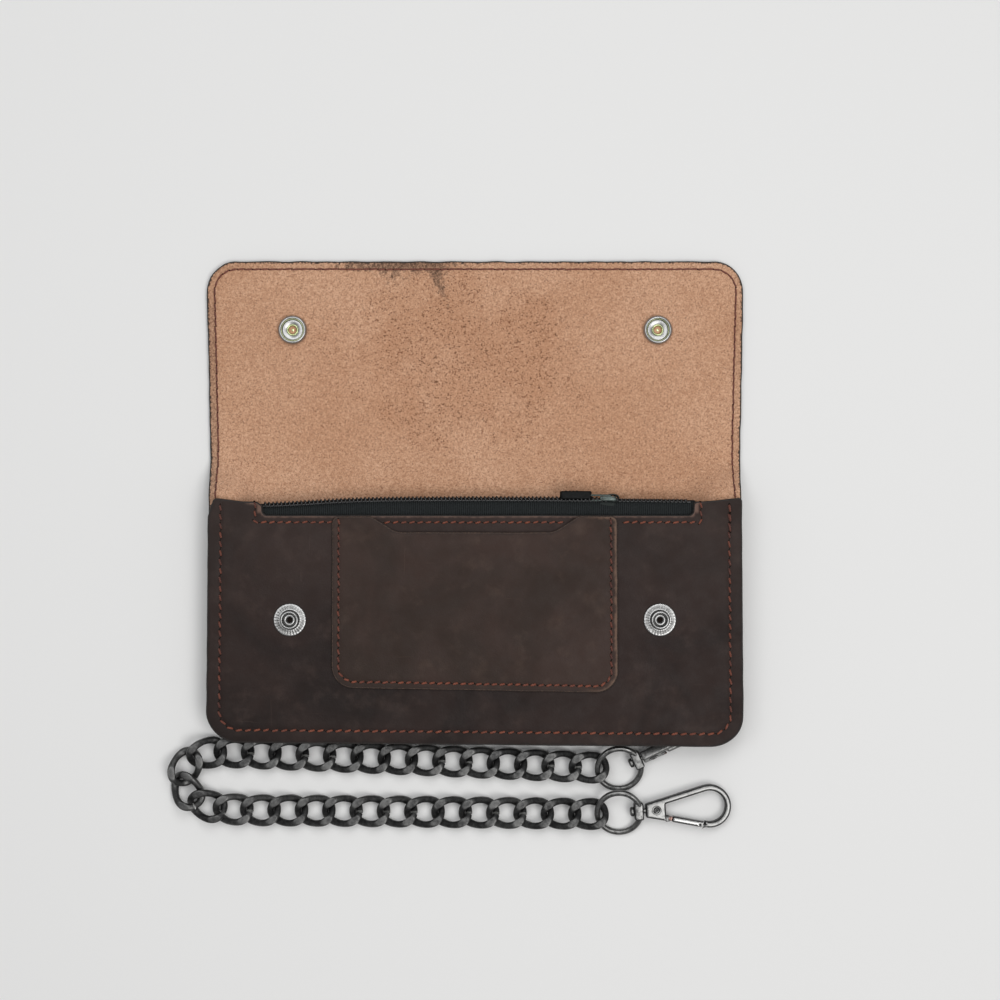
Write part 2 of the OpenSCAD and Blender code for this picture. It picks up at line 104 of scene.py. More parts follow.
HALF_W, HALF_H = front_high[0], front_high[1]
FRONT_TOP = front_high[2]
LEATHER = front_high[2] - front_low[2]
THIN = pocket_high[2] - pocket_low[2]
RIM_Z = back_high[2] - LEATHER
FLAP_START_Y = flap_low[1]
CORNER_R, FLAP_CORNER_R = 11.5, 10.8
RIM_W, SLOPE_W, CORNER_CUT = 7, 13, 108
BODY_SEAM, POCKET_SEAM, FLAP_SEAM, ZIP_SEAM_Y = 4.6, 2.3, 2.85, 35.5
SNAP_X = (stud_high[0] + socket_high[0]) / 2 - 5.5
SNAP_Y = (stud_low[1] + stud_high[1]) / 2
SOCKET_Y = (socket_low[1] + socket_high[1]) / 2
ZIP_LEFT, ZIP_RIGHT, ZIP_LOW = coil_low[0], coil_high[0], 38.1
RIB_PITCH = 0.68


# ---- Paths: closed ones run anticlockwise ----
def unit(v):
    return np.asarray(v, float) / np.linalg.norm(v)


def resample(path, step, closed=True):
    """The same line with a point about every step mm. Its corners stay where they are."""
    points = []
    count = len(path)
    for i in range(count if closed else count - 1):
        a, b = np.array(path[i], float), np.array(path[(i + 1) % count], float)
        parts = max(1, round(np.linalg.norm(b - a) / step))
        points += [a + (b - a) * k / parts for k in range(parts)]
    if not closed:
        points.append(np.array(path[-1], float))
    return np.array(points)


def rounded(corners, step=0.8, closed=True):
    """A line through corners [x, y, radius], each rounded with an arc."""
    points = []
    count = len(corners)
    for i, (x, y, r) in enumerate(corners):
        p = np.array([x, y], float)
        if r == 0 or (not closed and i in (0, count - 1)):
            points.append(p)
            continue
        u = unit(np.array(corners[i - 1][:2]) - p)
        v = unit(np.array(corners[(i + 1) % count][:2]) - p)
        half = math.acos(np.clip(u @ v, -1, 1)) / 2
        centre = p + unit(u + v) * r / math.sin(half)
        start, end = p + u * r / math.tan(half) - centre, p + v * r / math.tan(half) - centre
        a0 = math.atan2(start[1], start[0])
        turn = (math.atan2(end[1], end[0]) - a0 + math.pi) % (2 * math.pi) - math.pi
        parts = max(3, math.ceil(abs(turn) * r / step))
        for k in range(parts + 1):
            a = a0 + turn * k / parts
            points.append(centre + r * np.array([math.cos(a), math.sin(a)]))
    return resample(points, step, closed)


def inset(path, distance):
    """A closed path moved inwards, with its corners mitred."""
    before, after = np.roll(path, 1, 0), np.roll(path, -1, 0)
    d1 = (path - before) / np.linalg.norm(path - before, axis=1)[:, None]
    d2 = (after - path) / np.linalg.norm(after - path, axis=1)[:, None]
    n1, n2 = np.stack([-d1[:, 1], d1[:, 0]], 1), np.stack([-d2[:, 1], d2[:, 0]], 1)
    middle = (n1 + n2) / np.linalg.norm(n1 + n2, axis=1)[:, None]
    stretch = 1 / np.clip((middle * n1).sum(1), 0.7, 1)
    return path + middle * (stretch * distance)[:, None]


def distance_to(points, path, closed=True):
    """Distance of each point to the nearest place on a path."""
    a = path if closed else path[:-1]
    b = np.roll(path, -1, 0) if closed else path[1:]
    d = b - a
    squares = np.maximum((d * d).sum(1), 1e-12)
    found = []
    for part in np.array_split(points, max(1, len(points) // 2000)):
        rel = part[:, None] - a[None]
        t = np.clip((rel * d[None]).sum(2) / squares, 0, 1)
        found.append(np.linalg.norm(rel - t[:, :, None] * d[None], axis=2).min(1))
    return np.concatenate(found)


def inside(points, path):
    """True for each point that lies inside a closed path."""
    x, y = points[:, 0][:, None], points[:, 1][:, None]
    a, b = path[None], np.roll(path, -1, 0)[None]
    crosses = (a[:, :, 1] > y) != (b[:, :, 1] > y)
    rise = np.where(b[:, :, 1] == a[:, :, 1], 1e-12, b[:, :, 1] - a[:, :, 1])
    at = a[:, :, 0] + (y - a[:, :, 1]) / rise * (b[:, :, 0] - a[:, :, 0])
    return (crosses & (x < at)).sum(1) % 2 == 1


def smooth(t):
    t = np.clip(t, 0, 1)
    return t * t * (3 - 2 * t)


def ripple(points, length, seed):
    """Smooth pseudo-random height from -1 to 1, with waves about length mm long."""
    waves = random.Random(seed)
    total = np.zeros(len(points))
    for _ in range(6):
        a, phase = waves.uniform(0, 2 * math.pi), waves.uniform(0, 2 * math.pi)
        k = 2 * math.pi / (length * waves.uniform(0.7, 1.5))
        total += np.sin(k * (points[:, 0] * math.cos(a) + points[:, 1] * math.sin(a)) + phase)
    return total / 6


def hand_made(points):
    """Moves x, y points by the part's small sewing errors.

    The body's lower edge falls to the right, and its sides flare.
    """
    x, y = points[:, 0], points[:, 1]
    low = smooth((HALF_H - 4 - y) / (2 * HALF_H))
    moved = np.array(points, float)
    moved[:, 1] = y - 0.0088 * x * low
    moved[:, 0] = x * (1 + 0.006 * (low - 0.55) * (1 - smooth((y - HALF_H) / 15)))
    return moved


def hand_sewn(points):
    """The pocket sits a little more askew than the body."""
    moved = np.array(points, float)
    low = smooth((pocket_high[1] - points[:, 1]) / 50)
    moved[:, 1] -= 0.011 * points[:, 0] * low
    return hand_made(moved)


# ---- Meshes ----
# Rows of a net lie this share of its step apart, and a sheet's vertices know their edge within this reach
ROW_PITCH, EDGE_REACH = 0.87, 9


class Pile:
    """Vertices and faces of one object, collected shape by shape."""

    def __init__(self):
        self.verts, self.faces, self.mats, self.values = [], [], [], []

    def add(self, verts, faces, mat=0, value=0.0):
        base = len(self.verts)
        self.verts += [tuple(v) for v in verts]
        self.faces += [[i + base for i in f] for f in faces]
        self.mats += mat if isinstance(mat, list) else [mat] * len(faces)
        self.values += list(value) if hasattr(value, "__len__") else [value] * len(verts)

    def warp(self, move):
        """Moves the x and y of everything in the pile."""
        verts = np.array(self.verts, float)
        verts[:, :2] = move(verts[:, :2])
        self.verts = [tuple(v) for v in verts]

    def build(self, name, materials, sharp=35, place=None):
        """The object, in metres.

        Attribute rest holds each vertex's place in mm, and value the shape's own number.
        """
        verts = np.array(self.verts, float)
        if place is not None:
            verts = verts @ place[0].T + place[1]
        mesh = bpy.data.meshes.new(name)
        mesh.from_pydata((verts * MM).tolist(), [], self.faces)
        mesh.polygons.foreach_set("material_index", self.mats)
        for m in materials:
            mesh.materials.append(m)
        work = bmesh.new()
        work.from_mesh(mesh)
        bmesh.ops.recalc_face_normals(work, faces=work.faces)
        work.to_mesh(mesh)
        work.free()
        rest = mesh.attributes.new("rest", "FLOAT_VECTOR", "POINT")
        rest.data.foreach_set("vector", verts.ravel())
        value = mesh.attributes.new("value", "FLOAT", "POINT")
        value.data.foreach_set("value", self.values)
        mesh.polygons.foreach_set("use_smooth", [True] * len(mesh.polygons))
        mesh.set_sharp_from_angle(angle=math.radians(sharp))
        obj = bpy.data.objects.new(name, mesh)
        bpy.context.scene.collection.objects.link(obj)
        return obj


def strip_faces(rows, count, closed_rows=False, closed=True):
    """Faces between rows of count points each, laid out one row after the other."""
    faces = []
    for i in range(rows if closed_rows else rows - 1):
        here, there = i * count, ((i + 1) % rows) * count
        for j in range(count if closed else count - 1):
            k = (j + 1) % count
            faces.append([here + j, here + k, there + k, there + j])
    return faces


def tube(points, section, closed=False, up=(0, 0, 1)):
    """A section, (side, up) offsets for all points or for each, carried along a line."""
    points = np.asarray(points, float)
    if closed:
        way = np.roll(points, -1, 0) - np.roll(points, 1, 0)
    else:
        way = np.gradient(points, axis=0)
    way /= np.linalg.norm(way, axis=1)[:, None]
    side = np.cross(way, np.array(up, float))
    side /= np.linalg.norm(side, axis=1)[:, None]
    over = np.cross(side, way)
    section = np.asarray(section, float)
    if section.ndim == 2:
        section = np.repeat(section[None], len(points), 0)
    verts = points[:, None] + section[:, :, :1] * side[:, None] + section[:, :, 1:] * over[:, None]
    count = section.shape[1]
    faces = strip_faces(len(points), count, closed)
    if not closed:
        faces += [list(range(count))[::-1], list(range((len(points) - 1) * count, len(points) * count))]
    return verts.reshape(-1, 3), faces


def oval(rx, ry, sides=12, power=2.0):
    """Section of a wire, round at power 2 and squarer above it."""
    points = []
    for j in range(sides):
        a = 2 * math.pi * (j + 0.5) / sides
        c, s = math.cos(a), math.sin(a)
        across = rx * math.copysign(abs(c) ** (2 / power), c)
        upwards = ry * math.copysign(abs(s) ** (2 / power), s)
        points.append([across, upwards])
    return points


def lathe(profile, centre, steps=72, bump=None):
    """A profile of (r, z) turned about a vertical line. bump(r, z, angle) gives a height to add."""
    rows = []
    for i in range(steps):
        a = 2 * math.pi * i / steps
        for r, z in profile:
            high = bump(r, z, a) if bump else 0
            rows.append([centre[0] + r * math.cos(a), centre[1] + r * math.sin(a), centre[2] + z + high])
    return rows, strip_faces(steps, len(profile), True)


def edge_steps(thickness, radius, parts):
    """(inset, height) steps round a sheet's edge, from its upper face down to its lower one."""
    steps = []
    for k in range(parts + 1):
        a = math.pi / 2 * (1 - k / parts)
        steps.append((radius * (1 - math.cos(a)), thickness / 2 - radius * (1 - math.sin(a))))
    return steps + [(i, -z) for i, z in steps[::-1]]


def net(path, rim, guides, step):
    """An even net of points inside a rim, with the points of its guides in place of those nearest them."""
    low, high = path.min(0), path.max(0)
    rows = []
    for k, y in enumerate(np.arange(low[1], high[1] + step, step * ROW_PITCH)):
        xs = np.arange(low[0] + (k % 2) * step / 2, high[0] + step, step)
        rows.append(np.stack([xs, np.full(len(xs), y)], 1))
    inner = np.concatenate(rows)
    inner = inner[inside(inner, rim)]
    inner = inner[distance_to(inner, rim) > 0.55 * step]
    for guide in guides:
        inner = inner[distance_to(inner, guide, False) > 0.5 * step]
    kept = [inner]
    for guide in guides:
        within = guide[inside(guide, rim)]
        kept.append(within[distance_to(within, rim) > 0.2])
    return np.concatenate(kept)


def filled(rim, inner):
    """Triangles between a rim and the points inside it, as the points, the triangles and the rim's places."""
    count = len(rim)
    points, _, tris, origins, _, _ = geometry.delaunay_2d_cdt(
        [Vector(p) for p in np.concatenate([rim, inner])],
        [(i, (i + 1) % count) for i in range(count)], [], 1, 1e-6)
    where = {}
    for new, sources in enumerate(origins):
        for old in sources:
            where[old] = new
    return np.array([[v.x, v.y] for v in points]), tris, [where[i] for i in range(count)]


def sheet_into(pile, path, height, thickness, step=1.0, guides=(), top=None, edge=0.4, arris=4,
               mats=(0, 1, 2)):
    """A sheet with rounded edges inside a closed path.

    height gives its middle at x, y, and top what its upper side adds. Each vertex's value is its distance
    from the sheet's edge, up to EDGE_REACH. mats are the materials of its upper side, edge and lower side.
    """
    radius = min(edge, thickness * 0.49)
    rim = inset(path, radius)
    count = len(rim)
    fill, tris, upper_rim = filled(rim, net(path, rim, guides, step))
    total = len(fill)
    far = np.minimum(distance_to(fill, path), EDGE_REACH)
    extra = top(fill) if top else np.zeros(total)
    middle = height(fill)
    verts = [np.column_stack([fill, middle + thickness / 2 + extra]),
             np.column_stack([fill, middle - thickness / 2])]
    values = [far, far]
    rings = [upper_rim]
    for i, z in edge_steps(thickness, radius, arris)[1:-1]:
        ring = inset(path, i)
        lift = top(ring) * (z + thickness / 2) / thickness if top else 0
        base = 2 * total + count * (len(rings) - 1)
        verts.append(np.column_stack([ring, height(ring) + z + lift]))
        values.append(np.full(count, i))
        rings.append(list(range(base, base + count)))
    rings.append([i + total for i in upper_rim])
    faces = [list(t) for t in tris] + [[i + total for i in t[::-1]] for t in tris]
    face_mats = [mats[0]] * len(tris) + [mats[2]] * len(tris)
    for upper, lower in zip(rings, rings[1:]):
        for i in range(count):
            k = (i + 1) % count
            faces.append([upper[i], lower[i], lower[k], upper[k]])
            face_mats.append(mats[1])
    pile.add(np.concatenate(verts), faces, face_mats, np.concatenate(values))


def slab_into(pile, rows, thickness):
    """A sheet of even thickness under rows of points, closed all round."""
    top = np.concatenate(rows)
    count, total = len(rows[0]), len(top)
    last = total - count
    faces = strip_faces(len(rows), count, False, False)
    faces += [[a + total for a in f[::-1]] for f in faces]
    border = [*range(count), *range(2 * count - 1, total, count), *range(total - 2, last - 1, -1),
              *range(last - count, 0, -count)]
    faces += [[a, b, b + total, a + total] for a, b in zip(border, border[1:] + border[:1])]
    pile.add(np.concatenate([top, top - np.array([0, 0, thickness])]), faces)


def seam_groove(seams, depth, width):
    """Height that stitches press into leather along their seams."""
    def top(points):
        total = np.zeros(len(points))
        for seam in seams:
            total -= depth * np.exp(-(distance_to(points, seam, False) / width) ** 2)
        return total
    return top


def beside(seam, offsets, step):
    """The seam and lines beside it, for the mesh to follow."""
    way = np.gradient(seam, axis=0)
    way /= np.maximum(np.linalg.norm(way, axis=1), 1e-9)[:, None]
    side = np.stack([-way[:, 1], way[:, 0]], 1)
    return [resample(seam + side * o, step, False) for o in offsets]


def along(path, pitch):
    """Points and directions every pitch mm along an open path."""
    steps = np.linalg.norm(np.diff(path, axis=0), axis=1)
    s = np.concatenate([[0], np.cumsum(steps)])
    count = int(s[-1] / pitch)
    at = (np.arange(count) + 0.5) * s[-1] / count
    points = np.stack([np.interp(at, s, path[:, i]) for i in range(2)], 1)
    ahead = np.stack([np.interp(at + 0.3, s, path[:, i]) for i in range(2)], 1)
    behind = np.stack([np.interp(at - 0.3, s, path[:, i]) for i in range(2)], 1)
    way = ahead - behind
    return points, way / np.linalg.norm(way, axis=1)[:, None]


Stitch = namedtuple("Stitch", "pitch length width lean hole")


def stitches(pile, path, height, stitch, skip=None):
    """Separate stitches along path, each a thread that dives at both ends into a hole drawn as a dark oval of
    painted shade.
    """
    points, ways = along(path, stitch.pitch)
    a = math.radians(stitch.lean)
    turn = np.array([[math.cos(a), -math.sin(a)], [math.sin(a), math.cos(a)]])
    for p, way in zip(points, ways):
        if skip and skip(p):
            continue
        side = np.array([-way[1], way[0]])
        d = turn @ way
        d = unit(d + side * draw.uniform(-0.06, 0.06))
        centre = p + side * draw.uniform(-0.08, 0.08)
        stretch = stitch.length * draw.uniform(0.93, 1.06)
        line, sections = [], []
        for k in range(9):
            u = -1 + k / 4
            xy = centre + d * u * stretch / 2
            z = height(xy[None])[0] + stitch.width * (0.34 - 0.75 * u ** 4)
            line.append([xy[0], xy[1], z])
            fat = stitch.width / 2 * (1 - 0.35 * u ** 4) * draw.uniform(0.96, 1.04)
            sections.append(oval(fat, fat * 0.85, 8))
        verts, faces = tube(line, sections)
        # Each stitch's tint: part random, part painted light that makes stitches on seams running across
        # lighter
        pile.add(verts, faces, 0, 0.55 * draw.random() + 0.45 * abs(way[0]))
        for end in (-1, 1):
            hole_into(pile, centre + d * end * (stretch / 2 + 0.12), d, height, stitch.hole)


def hole_into(pile, at, way, height, radius, sides=10):
    """A dark oval of painted shade where a stitch goes into the leather, a little raised in its middle."""
    z = height(at[None])[0]
    across = np.array([-way[1], way[0]])
    disc = []
    for k in range(sides):
        t = 2 * math.pi * k / sides
        place = at + radius * (1.15 * math.cos(t) * way + 0.8 * math.sin(t) * across)
        disc.append([place[0], place[1], z - 0.02])
    disc.append([at[0], at[1], z + 0.05])
    pile.add(disc, [[i, (i + 1) % sides, sides] for i in range(sides)], 1)


# ---- Materials ----
class Nodes:
    """Short calls that build one material's node tree."""

    def __init__(self, name, **sockets):
        self.material = bpy.data.materials.new(name)
        self.material.use_nodes = True
        self.tree = self.material.node_tree
        self.shader = self.tree.nodes["Principled BSDF"]
        for key, value in sockets.items():
            self.shader.inputs[key.replace("_", " ")].default_value = value
        base = sockets.get("Base_Color", (0.5, 0.5, 0.5, 1))
        self.material.diffuse_color = (*[float(c) for c in base[:3]], 1)
        rest = self.tree.nodes.new("ShaderNodeAttribute")
        rest.attribute_name = "rest"
        self.rest = rest.outputs["Vector"]
        self.value_node = None

    def set(self, socket, source):
        self.tree.links.new(source, self.shader.inputs[socket])

    def value(self):
        """The shape's own number: an edge distance on leather, elsewhere a tint, wear, painted shade or
        painted highlight.
        """
        if self.value_node is None:
            self.value_node = self.tree.nodes.new("ShaderNodeAttribute")
            self.value_node.attribute_name = "value"
        return self.value_node.outputs["Fac"]

    def feed(self, socket, source):
        if isinstance(source, bpy.types.NodeSocket):
            self.tree.links.new(source, socket)
        else:
            socket.default_value = source

    def maths(self, operation, a, b=0.0, clamp=False):
        node = self.tree.nodes.new("ShaderNodeMath")
        node.operation = operation
        node.use_clamp = clamp
        self.feed(node.inputs[0], a)
        self.feed(node.inputs[1], b)
        return node.outputs[0]

    def stretched(self, scale, turn=0.0):
        node = self.tree.nodes.new("ShaderNodeMapping")
        node.inputs["Scale"].default_value = scale
        node.inputs["Rotation"].default_value = (0, 0, math.radians(turn))
        self.tree.links.new(self.rest, node.inputs["Vector"])
        return node.outputs[0]

    def noise(self, size, detail=3.0, rough=0.55, distortion=0.0, vector=None):
        """Noise whose features are about size mm across."""
        node = self.tree.nodes.new("ShaderNodeTexNoise")
        node.inputs["Scale"].default_value = 1 / size
        node.inputs["Detail"].default_value = detail
        node.inputs["Roughness"].default_value = rough
        node.inputs["Distortion"].default_value = distortion
        self.tree.links.new(vector or self.rest, node.inputs["Vector"])
        return node.outputs["Fac"]

    def cells(self, size, feature="F1", vector=None):
        node = self.tree.nodes.new("ShaderNodeTexVoronoi")
        node.feature = feature
        node.inputs["Scale"].default_value = 1 / size
        self.tree.links.new(vector or self.rest, node.inputs["Vector"])
        return node.outputs["Distance"]

    def wave(self, size, vector=None, direction="X", distortion=0.0):
        node = self.tree.nodes.new("ShaderNodeTexWave")
        node.bands_direction = direction
        node.inputs["Scale"].default_value = 1 / size * 0.314
        node.inputs["Distortion"].default_value = distortion
        self.tree.links.new(vector or self.rest, node.inputs["Vector"])
        return node.outputs["Fac"]

    def span(self, source, low, high, to_low=0.0, to_high=1.0):
        """source from low..high carried to to_low..to_high, clamped and eased."""
        node = self.tree.nodes.new("ShaderNodeMapRange")
        node.interpolation_type = "SMOOTHSTEP"
        self.feed(node.inputs["Value"], source)
        ends = {"From Min": low, "From Max": high, "To Min": to_low, "To Max": to_high}
        for socket, number in ends.items():
            node.inputs[socket].default_value = number
        return node.outputs[0]

    def mix(self, factor, a, b, blend="MIX"):
        node = self.tree.nodes.new("ShaderNodeMix")
        node.data_type = "RGBA"
        node.blend_type = blend
        self.feed(node.inputs["Factor"], factor)
        for socket, source in ((node.inputs[6], a), (node.inputs[7], b)):
            if isinstance(source, (tuple, list)):
                socket.default_value = (*source[:3], 1)
            else:
                self.tree.links.new(source, socket)
        return node.outputs[2]

    def bump(self, layers):
        """Bump from (height, strength in mm) layers, added together."""
        total = None
        for source, strength in layers:
            part = self.maths("MULTIPLY", source, strength)
            total = part if total is None else self.maths("ADD", total, part)
        node = self.tree.nodes.new("ShaderNodeBump")
        node.inputs["Strength"].default_value = 1
        node.inputs["Distance"].default_value = MM
        self.tree.links.new(total, node.inputs["Height"])
        self.set("Normal", node.outputs[0])

    def axis(self, name):
        node = self.tree.nodes.new("ShaderNodeSeparateXYZ")
        self.tree.links.new(self.rest, node.inputs[0])
        return node.outputs[name]


def srgb(r, g, b):
    """Linear colour of an 8-bit display colour."""
    return tuple((c / 255 / 12.92) if c <= 10 else ((c / 255 + 0.055) / 1.055) ** 2.4 for c in (r, g, b))


def oiled_leather(name, dark, mid, light, edge_colour, wear_and_light=None):
    """Oiled pull-up leather: cloudy colour, fine grain, faint scratches and burnished edges.

    The last argument, called with m, colour, near and light, gives the colour with its pale marks and any
    painted highlight, where near grows from the edge in.
    """
    m = Nodes(name, Base_Color=(*mid, 1), Specular_IOR_Level=0.13)
    cloud = m.noise(34, 4, 0.6, 0.6)
    colour = m.mix(m.span(cloud, 0.36, 0.66), dark, mid)
    patch = m.noise(9, 5, 0.62)
    colour = m.mix(m.span(patch, 0.5, 0.78, 0, 0.34), colour, light)
    scratch = m.noise(1.1, 2, 0.5, 0.4, m.stretched((0.05, 1.0, 1.0), 24))
    scratch2 = m.noise(1.3, 2, 0.5, 0.3, m.stretched((1.0, 0.045, 1.0), -15))
    lines = m.maths("MAXIMUM", m.span(scratch, 0.715, 0.77), m.span(scratch2, 0.73, 0.78))
    colour = m.mix(m.maths("MULTIPLY", lines, 0.16), colour, light)
    fleck = m.span(m.cells(3.1), 0.0, 0.07, 0.5, 0)
    colour = m.mix(m.maths("MULTIPLY", fleck, m.span(cloud, 0.5, 0.6)), colour, light)
    near = m.maths("ADD", m.value(), m.span(m.noise(2.2, 3), 0.3, 0.7, -0.35, 0.35))
    colour = m.mix(m.span(near, 0.2, 1.3, 0.75, 0), colour, edge_colour)
    if wear_and_light:
        colour = wear_and_light(m, colour, near, light)
    m.set("Base Color", colour)
    grain = m.cells(0.62)
    m.set("Roughness", m.span(m.noise(6, 4), 0.25, 0.75, 0.44, 0.62))
    m.bump([(grain, 0.035), (m.noise(0.3, 2), 0.03), (m.noise(2.6, 4), 0.14), (lines, -0.03)])
    return m.material


def zip_pale_and_highlight(m, colour, near, light):
    """The front leather is paler towards the zip, rubbed pale with a painted highlight along the slot's edge,
    and pale at the slot's ends.
    """
    off_middle = m.maths("ABSOLUTE", m.axis("X"))
    by_slot = m.maths("MULTIPLY", m.span(m.axis("Y"), 36.5, 37.8), m.span(off_middle, 79, 82, 1, 0))
    # Along the slot's edge the leather is rubbed pale and carries a painted highlight
    band = m.maths("MULTIPLY", by_slot, m.span(near, 0.3, 1.5, 0.9, 0))
    # Paler towards the zip
    colour = m.mix(m.span(m.axis("Y"), -12, 38, 0, 0.2), colour, light)
    middle, half = float(ZIP_LEFT + ZIP_RIGHT) / 2, float(ZIP_RIGHT - ZIP_LEFT) / 2
    off = m.maths("ABSOLUTE", m.maths("SUBTRACT", m.axis("X"), middle))
    lip = m.maths("MULTIPLY", m.span(off, half + 1.3, half + 2.2, 0.85, 0), m.span(m.axis("Y"), 38.2, 39.6))
    return m.mix(m.maths("MAXIMUM", band, lip), colour, srgb(112, 88, 78))


def pocket_right_pale(m, colour, near, light):
    """The pocket is paler along its right edge."""
    band = m.maths("MULTIPLY", m.span(m.axis("X"), 36, 50), m.span(near, 0.3, 1.5, 0.9, 0))
    return m.mix(band, colour, srgb(112, 88, 74))


def cut_edge(name, dark, light):
    """The burnished cut edge of leather."""
    m = Nodes(name, Base_Color=(*dark, 1), Specular_IOR_Level=0.35)
    fibre = m.noise(0.5, 4, 0.6, 0, m.stretched((1, 1, 3.0)))
    m.set("Base Color", m.mix(m.span(fibre, 0.42, 0.7), dark, light))
    m.set("Roughness", m.span(fibre, 0.3, 0.7, 0.5, 0.8))
    m.bump([(fibre, 0.12), (m.noise(1.6, 3), 0.15)])
    return m.material


def flesh_side(name):
    """Tan flesh side of the leather: fibrous speckle, cloudy tone, and dark stains by the free edge."""
    m = Nodes(name, Base_Color=(0.53, 0.32, 0.22, 1), Roughness=0.92, Specular_IOR_Level=0.15,
              Sheen_Weight=0.25, Sheen_Roughness=0.6)
    m.shader.inputs["Sheen Tint"].default_value = (1.0, 0.86, 0.76, 1)
    cloud = m.noise(46, 3, 0.55, 0.5)
    colour = m.mix(m.span(cloud, 0.36, 0.64), srgb(205, 159, 127), srgb(216, 172, 141))
    x, y = m.axis("X"), m.axis("Y")
    dx = m.maths("DIVIDE", m.maths("ADD", x, 6.0), 42.0)
    dy = m.maths("DIVIDE", m.maths("SUBTRACT", y, 94.0), 28.0)
    heart = m.maths("ADD", m.maths("MULTIPLY", dx, dx), m.maths("MULTIPLY", dy, dy))
    heart = m.maths("ADD", heart, m.span(m.noise(14, 4), 0.3, 0.7, -0.7, 0.7))
    colour = m.mix(m.span(heart, 0.15, 1.3, 0.38, 0), colour, srgb(188, 138, 104))
    fibre = m.noise(0.72, 3, 0.7, 0.8)
    specks = m.noise(0.62, 2, 0.6, 0.4)
    pores = m.noise(1.5, 2, 0.6, 1.2)
    colour = m.mix(m.span(fibre, 0.38, 0.60, 0.62, 0), colour, srgb(162, 114, 84))
    colour = m.mix(m.span(fibre, 0.56, 0.74, 0, 0.42), colour, srgb(236, 196, 168))
    strong = m.maths("ADD", 0.55, m.span(heart, 0.1, 1.6, 0.5, 0))
    colour = m.mix(m.maths("MULTIPLY", m.span(pores, 0.62, 0.74), strong), colour, srgb(128, 82, 58))
    colour = m.mix(m.maths("MULTIPLY", m.span(specks, 0.555, 0.66), strong), colour, srgb(112, 74, 52))
    # Dark dye along the edge, a grubby band outside the seam at the left, and stains by the free edge
    edge = m.value()
    outside = m.maths("MULTIPLY", m.span(edge, 2.4, 3.1, 1, 0), m.span(x, -84, -78, 0.5, 0.14))
    outside = m.maths("MULTIPLY", outside, m.span(y, 108, 118, 1, 0.4))
    outside = m.maths("MULTIPLY", outside, m.span(fibre, 0.35, 0.62, 1.0, 0.45))
    colour = m.mix(outside, colour, srgb(96, 76, 66))
    fuzz = m.maths("ADD", edge, m.span(m.noise(0.8, 3), 0.3, 0.7, -0.45, 0.45))
    colour = m.mix(m.span(fuzz, 0.25, 0.85, 0.95, 0), colour, srgb(52, 42, 38))
    from_end = m.maths("SUBTRACT", float(flap_high[1]), y)
    stain_x = m.maths("ABSOLUTE", m.maths("DIVIDE", m.maths("ADD", x, 29.0), 19.0))
    inwards = m.maths("ADD", m.span(from_end, 2.3, 4.2, 0, 0.8), m.maths("DIVIDE", from_end, 11.0))
    stain = m.maths("ADD", stain_x, inwards)
    stain = m.maths("ADD", stain, m.span(m.noise(1.6, 5, 0.7), 0.25, 0.75, -0.8, 0.8))
    mark_x = m.maths("ADD", m.maths("ADD", x, 15.5), m.maths("MULTIPLY", from_end, -0.35))
    mark_x = m.maths("ABSOLUTE", m.maths("DIVIDE", mark_x, 5.0))
    mark = m.maths("ADD", mark_x, m.maths("DIVIDE", from_end, 14.0))
    mark = m.maths("ADD", mark, m.span(m.noise(1.3, 5, 0.7), 0.25, 0.75, -0.7, 0.7))
    dark = m.maths("MAXIMUM", m.span(stain, 0.7, 1.6, 0.95, 0), m.span(mark, 0.45, 1.25, 0.95, 0))
    dark = m.maths("MULTIPLY", dark, m.span(fibre, 0.3, 0.62, 1.0, 0.5))
    colour = m.mix(dark, colour, srgb(72, 55, 46))
    m.set("Base Color", colour)
    m.bump([(fibre, 0.30), (m.noise(0.35, 2), 0.12), (pores, -0.18), (m.noise(5, 3), 0.3)])
    return m.material


def thread_material(name, base, bright):
    m = Nodes(name, Base_Color=(*base, 1), Roughness=0.5, Specular_IOR_Level=0.5, Sheen_Weight=0.15)
    tint = m.mix(m.value(), base, bright)
    ply = m.wave(0.55, m.stretched((1, 1, 1), 38), "X", 0.6)
    # Darker in the grooves between the plies: painted shade
    m.set("Base Color", m.mix(m.span(ply, 0.1, 0.9, 0.45, 0), tint, tuple(c * 0.35 for c in base)))
    m.bump([(ply, 0.10)])
    return m.material


def hole_shade_material():
    # Near-black painted shade for the inside of stitch holes and the stud posts' bore
    m = Nodes("thread_hole_shade", Base_Color=(0.008, 0.005, 0.004, 1), Roughness=0.95, Specular_IOR_Level=0.1)
    m.set("Base Color", m.mix(m.noise(0.4), (0.004, 0.003, 0.002), (0.016, 0.010, 0.008)))
    return m.material


def tape_material():
    """Black woven zip tape, ribbed across its length."""
    m = Nodes("zip_tape_weave", Base_Color=(0.012, 0.014, 0.015, 1), Roughness=0.8, Specular_IOR_Level=0.25)
    rib = m.wave(RIB_PITCH, None, "X", 0.15)
    weave = m.wave(0.34, None, "Y", 0.3)
    # The ribs' hollows are painted darker and their crests lighter: painted shade and light on the ribs
    colour = m.mix(m.span(rib, 0.2, 0.9), (0.003, 0.004, 0.0045), (0.017, 0.021, 0.0215))
    m.set("Base Color", m.mix(m.span(m.noise(0.5, 3), 0.4, 0.7, 0, 0.4), colour, (0.026, 0.030, 0.031)))
    m.bump([(rib, 0.10), (weave, 0.05)])
    return m.material


def nylon_material():
    m = Nodes("coil_nylon", Base_Color=(0.012, 0.012, 0.013, 1), Specular_IOR_Level=0.6)
    m.set("Base Color", m.mix(m.noise(1.5), (0.010, 0.010, 0.011), (0.03, 0.031, 0.032)))
    m.set("Roughness", m.span(m.noise(0.8), 0.3, 0.7, 0.2, 0.36))
    return m.material


